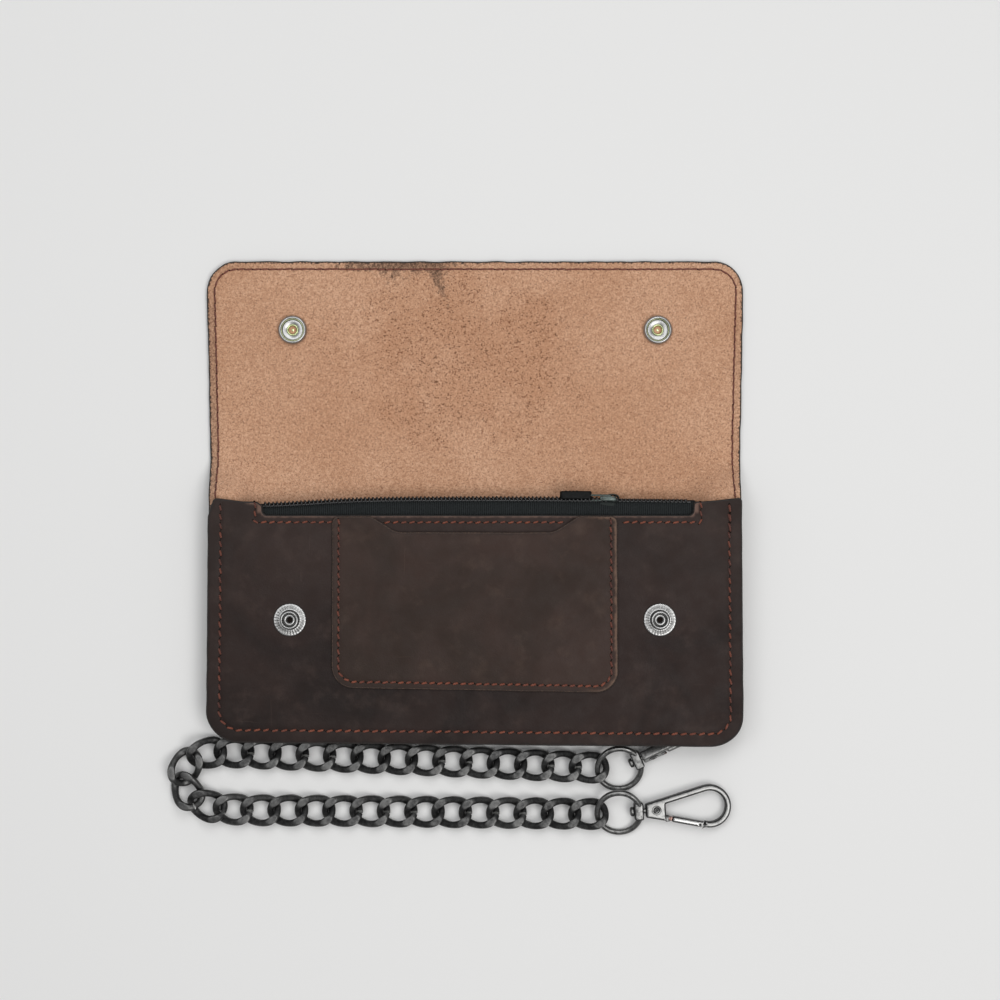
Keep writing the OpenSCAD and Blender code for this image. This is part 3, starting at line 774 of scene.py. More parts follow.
def aged_metal(name, bright, dark, rough=(0.25, 0.5), spread=1.0, mottle=0.22):
    """Plated metal with a dark antique finish left in its low and rough places.

    value 1 is bright and 0 is dark: rubbed wear and antique finish, and on some pieces painted shade and
    painted highlight.
    """
    m = Nodes(name, Base_Color=(*bright, 1), Metallic=1.0)
    blotch = m.noise(1.4 * spread, 5, 0.65)
    fine = m.noise(0.28, 3, 0.6)
    # The value carries wear, and on some pieces painted shade and painted highlight
    wear_and_light = m.maths("ADD", m.value(), m.span(blotch, 0.3, 0.7, -mottle, mottle))
    wear_and_light = m.maths("ADD", wear_and_light, m.span(fine, 0.3, 0.7, -0.1, 0.1))
    m.set("Base Color", m.mix(m.span(wear_and_light, 0.15, 0.85), dark, bright))
    m.set("Roughness", m.span(wear_and_light, 0.1, 0.9, rough[1], rough[0]))
    m.bump([(fine, 0.008), (blotch, 0.012)])
    return m.material


def plastic_material(name, base):
    m = Nodes(name, Base_Color=(*base, 1), Specular_IOR_Level=0.1)
    m.set("Base Color", m.mix(m.noise(3), tuple(c * 0.8 for c in base), tuple(c * 1.3 for c in base)))
    m.set("Roughness", m.span(m.noise(1.2), 0.3, 0.7, 0.42, 0.6))
    m.bump([(m.noise(0.3), 0.03)])
    return m.material


BODY_LEATHER = oiled_leather(
    "body_leather", srgb(33, 25, 23), srgb(45, 34, 31), srgb(74, 60, 55), srgb(29, 25, 24), zip_pale_and_highlight)
BACK_LEATHER = oiled_leather(
    "back_leather", srgb(38, 30, 28), srgb(50, 39, 36), srgb(76, 62, 56), srgb(32, 28, 27))
POCKET_LEATHER = oiled_leather(
    "pocket_leather_face", srgb(49, 38, 33), srgb(59, 45, 40), srgb(84, 68, 59), srgb(48, 38, 34),
    pocket_right_pale)
LINING_LEATHER = oiled_leather(
    "lining_leather", srgb(98, 74, 58), srgb(112, 86, 68), srgb(130, 102, 82), srgb(80, 60, 48))
BODY_EDGE = cut_edge("body_edge", srgb(33, 30, 29), srgb(52, 44, 40))
POCKET_EDGE = cut_edge("pocket_edge", srgb(50, 39, 34), srgb(92, 73, 62))
FUZZY_EDGE = cut_edge("fuzzy_edge", srgb(36, 32, 30), srgb(60, 50, 44))
FLESH = flesh_side("flesh_side")
SEAM_THREAD = thread_material("seam_thread_waxed", srgb(80, 36, 25), srgb(142, 72, 47))
FLAP_THREAD = thread_material("flap_thread_waxed", srgb(104, 50, 38), srgb(132, 70, 52))
HOLE_SHADE = hole_shade_material()
TAPE = tape_material()
NYLON = nylon_material()
NICKEL = aged_metal("snap_nickel_plate", (0.40, 0.40, 0.395), (0.08, 0.08, 0.078), (0.34, 0.46), 1.0, 0.08)
BRASS = aged_metal("snap_brass_plate", (0.52, 0.57, 0.31), (0.18, 0.16, 0.06), (0.24, 0.38), 1.0, 0.1)
CLASP = aged_metal(
    "clasp_antique_nickel", (0.21, 0.21, 0.207), (0.055, 0.055, 0.055), (0.33, 0.48), 1.0, 0.26)
DARK_CLASP = aged_metal("clasp_dark_nickel", (0.25, 0.25, 0.245), (0.035, 0.035, 0.035), (0.40, 0.52))
GATE = aged_metal("gate_satin_nickel", (0.29, 0.29, 0.286), (0.10, 0.10, 0.10), (0.26, 0.38), 1.0, 0.12)
COPPER = aged_metal("hinge_pin_copper", (0.30, 0.19, 0.165), (0.10, 0.065, 0.055), (0.3, 0.5))
BLACK_STEEL = aged_metal("black_steel", (0.26, 0.26, 0.255), (0.04, 0.04, 0.04), (0.3, 0.5))
CHAIN = aged_metal("chain_gunmetal", (0.13, 0.13, 0.128), (0.036, 0.036, 0.037), (0.40, 0.56), 1.4, 0.18)
BARE_STEEL = aged_metal("cut_steel", (0.85, 0.85, 0.84), (0.5, 0.5, 0.49), (0.3, 0.45))
SLIDER = aged_metal("slider_lacquer", (0.075, 0.09, 0.084), (0.02, 0.023, 0.022), (0.3, 0.5))
PULL = plastic_material("pull_plastic", (0.0055, 0.006, 0.006))


# ---- Seams ----
def tray_line(half, low, high, r):
    """Open path down the left side, along the bottom and up the right side."""
    return rounded([[-half, high, 0], [-half, low, r], [half, low, r], [half, high, 0]], 0.8, False)


BODY_LINE = tray_line(HALF_W - BODY_SEAM, -HALF_H + BODY_SEAM, HALF_H - 1.2, CORNER_R - BODY_SEAM)
ZIP_LINE = rounded([[ZIP_LEFT - 2.8, HALF_H - 0.4, 0], [ZIP_LEFT - 2.8, ZIP_SEAM_Y, 0.8],
                    [ZIP_RIGHT + 2.9, ZIP_SEAM_Y, 0.8], [ZIP_RIGHT + 2.9, HALF_H - 0.4, 0]], 0.8, False)
POCKET_LINE = tray_line(pocket_high[0] - POCKET_SEAM, pocket_low[1] + POCKET_SEAM, pocket_high[1] - 0.6, 5.5)
BODY_STITCH = Stitch(3.2, 2.25, 0.80, 15, 0.58)
ZIP_STITCH = Stitch(2.9, 2.0, 0.74, 15, 0.54)
POCKET_STITCH = Stitch(2.75, 1.95, 0.82, 15, 0.58)
LAST_STITCH = Stitch(3.2, 2.6, 0.82, 4, 0.42)
FLAP_STITCH = Stitch(2.8, 2.7, 0.62, 4, 0.22)


# ---- Outer leather: back, fold and flap in one sheet ----
def tray_height(points, low, high, rim_w, slope_w, corner):
    """Height of a tray whose floor is at low and whose rim is at high."""
    x, y = points[:, 0], points[:, 1]
    side = HALF_W - np.abs(x)
    bottom = y + HALF_H
    edge = np.minimum(side, bottom)
    both = np.maximum(CORNER_R - side, 0) ** 2 + np.maximum(CORNER_R - bottom, 0) ** 2
    round_edge = CORNER_R - np.sqrt(both)
    edge = np.where((side < CORNER_R) & (bottom < CORNER_R), round_edge, edge)
    if corner:
        edge = np.minimum(edge, RIM_W + (CORNER_CUT - (x - y)) / math.sqrt(2))
    return low + (high - low) * (1 - smooth((edge - rim_w) / slope_w))


def outer_height(points):
    """Middle of the outer leather: a tray under the body, then down to the table and along the flap."""
    y = points[:, 1]
    tray = tray_height(points, LEATHER / 2, RIM_Z + LEATHER / 2, RIM_W, SLOPE_W, True)
    fall = 1 - smooth((y - HALF_H + 1) / (FLAP_START_Y - 6 - HALF_H))
    rise = smooth((y - HALF_H - 4) / 20)
    snaps = sum(np.exp(-((points[:, 0] - s * SNAP_X) ** 2 + (y - SOCKET_Y) ** 2) / 22 ** 2) for s in (-1, 1))
    flap = LEATHER / 2 + 0.35 + 0.85 * np.minimum(snaps, 1) + 0.28 * ripple(points, 60, 3)
    return tray * fall + (flap * rise + LEATHER / 2 * (1 - rise)) * (1 - fall)


def flap_outline():
    wide, fold_wide, end = flap_high[0], fold_high[0], flap_high[1]
    right = [[HALF_W, -HALF_H, CORNER_R], [HALF_W, HALF_H - 1, 3], [fold_wide, HALF_H + 6, 20],
             [fold_wide + 0.1, FLAP_START_Y, 0], [wide, end, FLAP_CORNER_R]]
    left = [[-x, y, r] for x, y, r in right[::-1]]
    return rounded(left[-1:] + right + left[:-1], 0.9)


def flap_seam():
    wide, end, r = flap_high[0] - FLAP_SEAM, flap_high[1] - FLAP_SEAM, FLAP_CORNER_R - FLAP_SEAM
    near = fold_high[0] - FLAP_SEAM
    return rounded([[near, HALF_H + 0.6, 0], [near, FLAP_START_Y, 30], [wide, end, r], [-wide, end, r],
                    [-near, FLAP_START_Y, 30], [-near, HALF_H + 0.6, 0]], 0.8, False)


def wavy(path, size, length, seed):
    """The path with its edge a little uneven, as if cut by hand."""
    shift = size * ripple(path, length, seed)
    return path + (inset(path, 1.0) - path) * shift[:, None]


def outer_leather():
    seam = flap_seam()
    pile = Pile()
    sheet_into(pile, wavy(flap_outline(), 0.22, 9, 5), outer_height, LEATHER, 1.25,
               beside(seam, (-0.7, 0, 0.7), 0.9), seam_groove([seam], 0.22, 0.8), 0.45)
    pile.warp(hand_made)
    obj = pile.build("outer_leather", [FLESH, FUZZY_EDGE, BACK_LEATHER], 60)
    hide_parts("back_panel", "fold_strip", "flap")
    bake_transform(obj)

    def top(points):
        return outer_height(points) + LEATHER / 2 - 0.12

    threads = Pile()
    stitches(threads, seam, top, FLAP_STITCH)
    obj = threads.build("flap_stitches", [FLAP_THREAD, HOLE_SHADE], 60)
    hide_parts("flap_thread")
    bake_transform(obj)


# ---- Front panel, lining and card pocket ----
def front_height(points):
    """Middle of the front panel, a little full between its seams."""
    edge = np.minimum(HALF_W - np.abs(points[:, 0]), points[:, 1] + HALF_H)
    full = smooth((edge - BODY_SEAM) / 22) * smooth((HALF_H - points[:, 1]) / 25)
    past = np.maximum(points[:, 0] - ZIP_RIGHT, ZIP_LEFT - points[:, 0])
    lip = 0.45 * np.exp(-((past - 0.7) / 1.1) ** 2) * smooth((points[:, 1] - ZIP_LOW) / 2)
    return FRONT_TOP - LEATHER / 2 - 0.25 + 0.25 * full + lip + 0.16 * ripple(points, 48, 11)


def front_surface(points):
    return front_height(points) + LEATHER / 2 + FRONT_GROOVE(points)


FRONT_GROOVE = seam_groove([BODY_LINE, ZIP_LINE], 0.3, 0.75)


def front_panel():
    curl = 1.6
    path = rounded([[-HALF_W, -HALF_H, CORNER_R], [HALF_W, -HALF_H, CORNER_R], [HALF_W, HALF_H + 0.9, 1.2],
                    [HALF_W - 11, HALF_H - 0.3, 12], [ZIP_RIGHT + 1.4, HALF_H - 0.5, 0.8],
                    [ZIP_RIGHT + 0.2, HALF_H - 1.2, 1.0], [ZIP_RIGHT, ZIP_LOW, curl],
                    [ZIP_LEFT, ZIP_LOW, curl], [ZIP_LEFT - 0.2, HALF_H - 2.0, 1.0],
                    [ZIP_LEFT - 2.2, HALF_H - 0.6, 1.2],
                    [-HALF_W + 12, HALF_H - 0.5, 12], [-HALF_W + 2.2, HALF_H + 0.7, 1.5],
                    [-HALF_W, HALF_H - 5.5, 4]], 0.7)
    guides = beside(BODY_LINE, (-1.4, -0.7, 0, 0.7, 1.4), 0.8) + beside(ZIP_LINE, (-0.7, 0, 0.7), 0.8)
    pile = Pile()
    sheet_into(pile, wavy(path, 0.12, 14, 8), front_height, LEATHER, 1.2, guides, FRONT_GROOVE, 0.5)
    pile.warp(hand_made)
    obj = pile.build("front_leather", [BODY_LEATHER, BODY_EDGE, LINING_LEATHER], 60)
    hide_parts("front_panel")
    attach(obj, "wallet_body")


def inner_panel():
    def height(points):
        return tray_height(points, inner_low[2] + THIN / 2, RIM_Z + LEATHER + THIN / 2, RIM_W + 2, 7, True)

    wide, top = HALF_W - 0.7, coil_low[1] - 0.2
    path = rounded([[-wide, -HALF_H + 0.7, CORNER_R], [wide, -HALF_H + 0.7, CORNER_R], [wide, top, 1],
                    [-wide, top, 1]], 1.2)
    pile = Pile()
    sheet_into(pile, path, height, THIN, 2.0)
    pile.warp(hand_made)
    obj = pile.build("lining", [LINING_LEATHER, BODY_EDGE, LINING_LEATHER], 60)
    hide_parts("inner_panel")
    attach(obj, "wallet_body")


POCKET_GROOVE = seam_groove([POCKET_LINE], 0.26, 0.7)


def pocket_height(points):
    x, y = np.abs(points[:, 0]), points[:, 1]
    edge = np.minimum(pocket_high[0] - x, y - pocket_low[1])
    full = smooth((edge - POCKET_SEAM) / 15)
    mouth = smooth((y - 20) / 14) * smooth((34 - x) / 14)
    return front_height(points) + LEATHER / 2 + THIN / 2 + 0.03 + 0.28 * full + 0.25 * mouth


def pocket_surface(points):
    return pocket_height(points) + THIN / 2 + POCKET_GROOVE(points)


def card_pocket():
    wide, low, high = pocket_high[0], pocket_low[1], pocket_high[1]
    path = rounded([[-wide, low, 7.8], [wide, low, 7.8], [wide, high, 2.2], [37, high, 3],
                    [28, high - 5.7, 7], [-28, high - 5.7, 7], [-37, high, 3], [-wide, high, 2.5]], 0.7)
    pile = Pile()
    sheet_into(pile, wavy(path, 0.13, 11, 21), pocket_height, THIN, 1.1,
               beside(POCKET_LINE, (-0.7, 0, 0.7), 0.7), POCKET_GROOVE, 0.4)
    pile.warp(hand_sewn)
    obj = pile.build("pocket_leather", [POCKET_LEATHER, POCKET_EDGE, LINING_LEATHER], 60)
    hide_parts("card_pocket")
    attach(obj, "wallet_body")


def body_stitches():
    def under_pocket(p):
        return 32 < abs(p[0]) < pocket_high[0] + 0.6 and p[1] < pocket_high[1]

    pile, sewn = Pile(), Pile()
    stitches(pile, BODY_LINE, front_surface, BODY_STITCH)
    stitches(pile, ZIP_LINE, front_surface, ZIP_STITCH, under_pocket)
    stitches(sewn, POCKET_LINE, pocket_surface, POCKET_STITCH)
    # The seam's end is sewn twice at the top right
    double = BODY_LINE[BODY_LINE[:, 1] > HALF_H - 12]
    double = double[double[:, 0] > 0] + np.array([0.25, 0])
    stitches(pile, double, lambda p: front_surface(p) + 0.22, LAST_STITCH)
    pile.warp(hand_made)
    sewn.warp(hand_sewn)
    pile.add(sewn.verts, sewn.faces, sewn.mats, sewn.values)
    obj = pile.build("body_stitches", [SEAM_THREAD, HOLE_SHADE], 60)
    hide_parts("panel_threads")
    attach(obj, "wallet_body")


# ---- Zip ----
def coil_line(x):
    """Rise of the coil along the zip, lowest at its left end."""
    t = (np.asarray(x, float) - ZIP_LEFT) / (ZIP_RIGHT - ZIP_LEFT)
    return -1.5 * np.exp(-(t / 0.16) ** 2) + 0.55 * np.sin(math.pi * np.clip(t, 0, 1))


def parted(x):
    """0 where the zip is shut, to the left of its slider, and 1 where it is open."""
    return smooth((np.asarray(x, float) - slider_high[0] + 4) / 5)


def zip_tapes():
    pile = Pile()
    left, right = tape_low[0], tape_high[0]
    xs = np.arange(left, right, 0.17)
    coil_y, mid = coil_low[1], (coil_low[2] + coil_high[2]) / 2
    rows = []
    for u in np.linspace(0, 1, 13):
        y = tape_low[1] + (coil_y + 0.2 - tape_low[1]) * u
        drop = -1.0 * smooth((u - 0.86) / 0.14)
        rib = 0.05 * np.sin(2 * math.pi * xs / RIB_PITCH) * smooth((u - 0.4) / 0.1)
        rise = (coil_line(xs) + 0.45 * parted(xs)) * smooth((u - 0.5) / 0.5)
        z = front_low[2] - 0.35 + 0.25 * math.sin(u * math.pi) + drop + rib
        rows.append(np.stack([xs, y + rise, z], 1))
    slab_into(pile, rows, 0.45)
    # The rear tape runs up from the lining and stands behind the coil
    rear = [[tape_low[1] + 1, tape_low[2]], [coil_y - 1.4, tape_low[2]], [coil_y - 0.5, tape_low[2] + 0.3],
            [coil_y + 0.2, mid - 1.3], [coil_y + 0.75, mid - 0.75]]
    xs = np.arange(left, right, 0.8)
    rows = []
    for step, (y, z) in enumerate(rear):
        rise = coil_line(xs) * smooth(step / 2)
        rows.append(np.stack([xs, y + rise, np.full(len(xs), z)], 1))
    back = [row + np.array([0, 0.3, -0.3]) for row in rows[::-1]]
    pile.add(np.concatenate(rows + back), strip_faces(len(rows) * 2, len(xs), True, False))
    obj = pile.build("zip_tape_pair", [TAPE], 50)
    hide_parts("zip_tapes")
    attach(obj, "wallet_body")


def zip_coils():
    """Two rows of nylon coil, meshed to the left of the slider and apart to its right."""
    pitch, wire, per_turn = 1.42, 0.29, 12
    turns = int((ZIP_RIGHT - ZIP_LEFT - 1) / pitch)
    coil_y = (coil_low[1] + coil_high[1]) / 2
    mid = (coil_low[2] + coil_high[2]) / 2
    pile = Pile()
    for row in (0, 1):
        sign = 1 - 2 * row
        points = []
        for k in range(turns * per_turn):
            a = 2 * math.pi * k / per_turn
            x = ZIP_LEFT + 0.4 + pitch * (k / per_turn + 0.5 * row)
            apart = 0.55 * float(parted(x))
            reach = 0.78 * math.cos(a) + 0.12
            tall = 1.0 - 0.6 * float(parted(x)) if row == 0 else 0.5
            points.append([x, coil_y + 0.15 + tall * math.sin(a) + float(coil_line(x)),
                           mid + 0.4 + sign * (0.62 + apart - reach)])
        verts, faces = tube(points, oval(wire, wire, 7), up=(0.3, 1, 0.2))
        pile.add(verts, faces)
        # The cord that fills the coil
        xs = np.arange(ZIP_LEFT, ZIP_RIGHT, 2.0)
        cord = np.stack([xs, coil_y - 0.25 + coil_line(xs), mid + sign * (0.95 + 0.55 * parted(xs))], 1)
        verts, faces = tube(cord, oval(0.3, 0.3, 8))
        pile.add(verts, faces)
    obj = pile.build("zip_coil_rows", [NYLON], 60)
    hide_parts("zip_coils")
    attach(obj, "wallet_body")


def flat_piece(pile, path, thickness, edge, place, mat=0, value=0.5, step=1.0, arris=3, rim=1.0):
    """A flat bar or plate with rounded arrises, in its own x, y until a turn and an origin place it.

    Towards its outline its value falls to rim of what it is in the middle; where rim is below 1 this is
    painted shade along the outline.
    """
    part = Pile()
    mats = (mat, mat, mat)
    sheet_into(part, path, lambda p: np.zeros(len(p)), thickness, step, edge=edge, arris=arris, mats=mats)
    turn, origin = place
    verts = np.array(part.verts) @ np.array(turn, float).T + np.array(origin, float)
    # Painted shade: where rim is below 1 the value falls towards the outline
    unshaded = smooth(np.array(part.values) / 0.8)
    pile.add(verts, part.faces, part.mats, value * (rim + (1 - rim) * unshaded))


# Columns carry a flat piece's x, y, z to the frame's x, z, -y: its face then looks at the flap
UPRIGHT = [[1, 0, 0], [0, 0, -1], [0, 1, 0]]


def zip_slider():
    x0, x1 = slider_low[0], slider_high[0]
    middle, mid = (x0 + x1) / 2, (slider_low[2] + slider_high[2]) / 2
    end = (x1 - x0) / 2
    upper_y, lower_y, flange_rise = slider_high[1] - 3.1, slider_low[1] + 0.5, 0.75
    pile = Pile()
    # The lower plate and its flanges are darker than the upper ones
    for y, half, shorter, plate_tone in ((upper_y, 2.3, 0, 0.6), (lower_y, 2.0, 1, 0.1)):
        one_side = [[-end + shorter, half * 0.55, 0.8], [-1, half * 0.62, 3], [end - 2, half, 1.4],
                    [end - shorter, half * 0.7, 1]]
        path = rounded([[x, -y_, r] for x, y_, r in one_side] + one_side[::-1], 0.4)
        flat_piece(pile, path, 0.8, 0.25, (UPRIGHT, [middle, y, mid]), 0, plate_tone, 0.9)
        for side in (-1, 1):
            flange = [[x0 + 3.6, y + flange_rise, mid + side * (half - 0.6)],
                      [x1 - 2, y + flange_rise, mid + side * (half - 0.2)],
                      [x1 - 0.9, y + flange_rise, mid + side * (half - 0.6)]]
            verts, faces = tube(flange, oval(0.75, 0.3, 8, 3.5), up=(0, 0, 1))
            pile.add(verts, faces, 0, plate_tone)
    bridge = []
    centre = joint("zip_pull_hinge")["pos_m"][0] / MM
    base = slider_high[1] - 2.8
    for k in range(13):
        a = math.pi * k / 12
        bridge.append([centre + 0.3 + 2.3 * math.cos(a), base + 1.75 * math.sin(a) ** 0.6, mid])
    verts, faces = tube(bridge, oval(0.42, 1.1, 10, 2.8))
    pile.add(verts, faces, 0, 0.7)
    post = rounded([[-1.2, -0.25, 0.2], [1.2, -0.25, 0.2], [1.2, 0.25, 0.2], [-1.2, 0.25, 0.2]], 0.2)
    between = (upper_y + slider_low[1]) / 2
    flat_piece(pile, post, upper_y - slider_low[1], 0.05, (UPRIGHT, [x1 - 2.6, between, mid]), 0, 0.3, 0.5)
    obj = pile.build("zip_slider_body", [SLIDER], 40)
    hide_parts("zip_slider")
    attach(obj, "zip_slider")


def zip_pull():
    x, y, z = np.array(joint("zip_pull_hinge")["pos_m"]) / MM
    tab_start, tab_end = pull_low[0] + 1.1, pull_low[0] + 12.4
    pile = Pile()
    wire = rounded([[x, -1.5, 0.5], [x, 1.5, 0.5], [tab_end - 1.6, 1.5, 0.5], [tab_end - 1.6, -1.5, 0.5]],
                   0.35)
    loop = [[at, y + 0.1 * (x - at) / 8, z + across] for at, across in wire]
    verts, faces = tube(loop, oval(0.34, 0.34, 10), True, (0, 1, 0))
    pile.add(verts, faces, 1, 0.9)
    half = (pull_high[2] - pull_low[2]) / 2 - 0.1
    # Its lower edge clears the leather where the zip is shut
    under = -half + 1.0
    path = rounded([[tab_start, under, 1.0], [tab_end, under, 0.8], [tab_end, half - 0.5, 0.8],
                    [tab_start, half, 1.0]], 0.5)
    flat_piece(pile, path, 2.9, 0.5, (UPRIGHT, [0, y + 0.1, z]), 0, 0.5, 0.9)
    reach = half - 1.2
    for ridge in range(4):
        at = tab_start + 2.2 + ridge * 1.3
        bar = [[at, y + 1.53, z - reach], [at, y + 1.58, z], [at, y + 1.53, z + reach]]
        verts, faces = tube(bar, oval(0.3, 0.2, 8), up=(0, 1, 0))
        pile.add(verts, faces, 0)
    obj = pile.build("zip_pull_tab", [PULL, SLIDER], 40)
    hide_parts("zip_pull")
    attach(obj, "zip_pull")


# ---- Snap fasteners ----
# Profiles of turned pieces as (radius, height): the stud's from the front leather, the socket's from the flap
STUD = [(1.35, 0.0), (5.6, 0.0), (5.8, 0.12), (5.8, 0.35), (5.66, 0.55), (5.4, 0.62), (5.0, 0.66),
        (4.5, 0.70), (4.0, 0.76), (3.72, 0.86), (3.45, 0.84), (3.1, 0.72), (2.85, 0.75), (2.72, 1.0),
        (2.75, 1.5), (2.95, 1.85), (3.22, 2.1), (3.32, 2.4), (3.25, 2.75), (3.05, 3.0), (2.8, 3.1),
        (2.58, 3.02), (2.46, 2.8), (2.44, 1.4), (2.3, 1.2), (1.35, 1.15)]
POST = [(0.75, -0.4), (1.25, -0.4), (1.25, 1.2), (1.95, 1.28), (2.02, 1.42), (1.9, 1.6), (1.6, 1.72),
        (1.32, 1.66), (1.18, 1.45), (0.95, 1.1), (0.75, 0.6)]
POST_FLOOR = [(0.0, 0.2), (0.9, 0.2), (0.9, 0.45), (0.45, 0.6), (0.0, 0.65)]
POST_FOOT = [(0.75, -2.4), (3.9, -2.4), (4.0, -2.2), (3.9, -1.95), (0.75, -1.9)]
SOCKET = [(2.0, 0.0), (4.95, 0.0), (5.15, 0.25), (5.2, 0.8), (5.18, 1.4), (5.0, 1.9), (4.7, 2.25),
          (4.4, 2.38), (4.2, 2.3), (4.05, 2.1), (4.0, 1.8), (4.0, 1.4), (3.95, 1.15), (3.85, 1.0),
          (3.7, 1.0), (3.55, 1.1), (3.35, 1.16), (2.9, 1.1), (2.3, 0.92), (2.0, 0.8)]
SOCKET_SPRING = [(4.02, 1.2), (3.86, 1.25), (3.8, 1.4), (3.88, 1.55), (4.02, 1.55)]
CAP_TUBE = [(1.45, -1.6), (1.9, -1.6), (1.9, 0.8), (2.04, 0.95), (2.0, 1.15), (1.85, 1.24), (1.6, 1.18),
            (1.45, 1.0)]
CAP_TUBE_FLOOR = [(0, -1.2), (1.5, -1.2), (1.5, -0.9), (1.25, -0.75), (0.8, -0.2), (0.4, 0.05), (0, 0.1)]
# The cap's heights are from the table that the open flap lies on
CAP = [(0, 0.0), (2.5, 0.04), (4.2, 0.22), (5.1, 0.5), (5.5, 0.85), (5.45, 1.05), (5.1, 1.05),
       (1.5, 1.05), (0, 1.0)]
STUD_STEPS, SOCKET_STEPS = 224, 96


def knurl(r, z, a):
    """Height of the stud's ring of radial ridges."""
    between = smooth((r - 3.75) / 0.25) * smooth((5.5 - r) / 0.25) if z > 0.3 else 0
    return 0.05 * float(between) * (math.cos(30 * a) - 0.5)


def stud_tone(r, z):
    """Darker in the grooves and across the knurled band."""
    if (3.0 < r < 3.5 and z < 1) or (2.0 < r < 2.7 and z < 2.6):
        return 0.0
    return 0.5 if 3.9 < r < 5.2 else 0.85


# The socket is darker in the groove by its spring
def socket_tone(r, z):
    return 0.5 if 3.6 < r < 4.05 and z < 1.3 else 0.95


def snaps():
    studs, posts, sockets, caps = Pile(), Pile(), Pile(), Pile()
    for side in (-1, 1):
        base = [side * SNAP_X, SNAP_Y, FRONT_TOP]
        top = [side * SNAP_X, SOCKET_Y, socket_low[2]]
        table = [side * SNAP_X, SOCKET_Y, 0]
        verts, faces = lathe(STUD, base, STUD_STEPS, knurl)
        studs.add(verts, faces, 0, [stud_tone(r, z) for r, z in STUD] * STUD_STEPS)
        verts, faces = lathe(SOCKET, top, SOCKET_STEPS)
        sockets.add(verts, faces, 0, [socket_tone(r, z) for r, z in SOCKET] * SOCKET_STEPS)
        # The post's floor takes the hole material: painted shade in its bore
        for pile, profile, centre, steps, mat, value in (
                (posts, POST, base, 64, 0, 0.75), (posts, POST_FLOOR, base, 32, 1, 0.2),
                (posts, POST_FOOT, base, 48, 0, 0.5), (sockets, SOCKET_SPRING, top, 64, 1, 0.6),
                (caps, CAP_TUBE, top, 64, 0, 0.8), (caps, CAP_TUBE_FLOOR, top, 48, 0, 0.9),
                (caps, CAP, table, 96, 0, 0.6)):
            verts, faces = lathe(profile, centre, steps)
            pile.add(verts, faces, mat, value)
    for pile, name, node, slot, body, mats in (
            (studs, "stud_rings", "snap_studs", "snap_nickel", "wallet_body", [NICKEL]),
            (posts, "stud_posts", "snap_posts", "snap_nickel", "wallet_body", [NICKEL, HOLE_SHADE]),
            (sockets, "socket_rings", "snap_sockets", "snap_nickel", "flap", [NICKEL, BRASS]),
            (caps, "socket_caps", "snap_caps", "snap_brass", "flap", [BRASS])):
        obj = pile.build(name, mats, 50)
        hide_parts(node)
        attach(obj, body)


# ---- Clasps, built along +x from the centre of their eye ----
CLASP_LEN, STRIP, PLATE_X, PLATE_END, PLATE_HALF = 40.3, 2.1, 9.6, 16.8, 2.4
RIVET_X, GATE_X, GATE_LAP = 13.4, 17.9, 1.3
BOSS_X, BOSS_HALF, BOSS_DEPTH, EYE_R, EYE_WIRE = 7.1, 1.65, 4.6, 7.85, 1.02
RIVET = [(0.0, 0.12), (0.35, 0.12), (0.5, 0.3), (0.72, 0.34), (0.86, 0.14), (1.0, 0.08), (1.15, 0.22),
         (1.5, 0.26), (1.68, 0.14), (1.75, -0.1), (0.0, -0.1)]
GATE_PIN = [(0, 0.1), (0.4, 0.1), (0.55, 0.0), (0.55, -0.5), (0, -0.5)]
RIVET_STEPS = 48


def turned(axis, angle):
    a = math.radians(angle)
    c, s = math.cos(a), math.sin(a)
    turns = {"x": [[1, 0, 0], [0, c, -s], [0, s, c]],
             "y": [[c, 0, s], [0, 1, 0], [-s, 0, c]],
             "z": [[c, -s, 0], [s, c, 0], [0, 0, 1]]}
    return np.array(turns[axis])


class Drop:
    """Outline of the clasp's hook: straight arms from the plate that touch a round tip."""

    def __init__(self, x0, half, centre, r):
        self.x0, self.half, self.centre, self.r = x0, half, centre, r
        d = math.hypot(centre - x0, half)
        self.angle = math.atan2(half, x0 - centre) - math.acos(r / d)
        self.touch = [centre + r * math.cos(self.angle), r * math.sin(self.angle)]

    def arm(self, x):
        """Half height of the straight arm at x."""
        return self.half + (self.touch[1] - self.half) * (x - self.x0) / (self.touch[0] - self.x0)

    def arc(self, start, end, parts=26):
        return [[self.centre + self.r * math.cos(start + (end - start) * k / parts),
                 self.r * math.sin(start + (end - start) * k / parts), 0] for k in range(parts + 1)]


def gate_centre(r):
    return Drop(PLATE_X, PLATE_HALF, CLASP_LEN - r, r).arm(GATE_X) - STRIP / 2


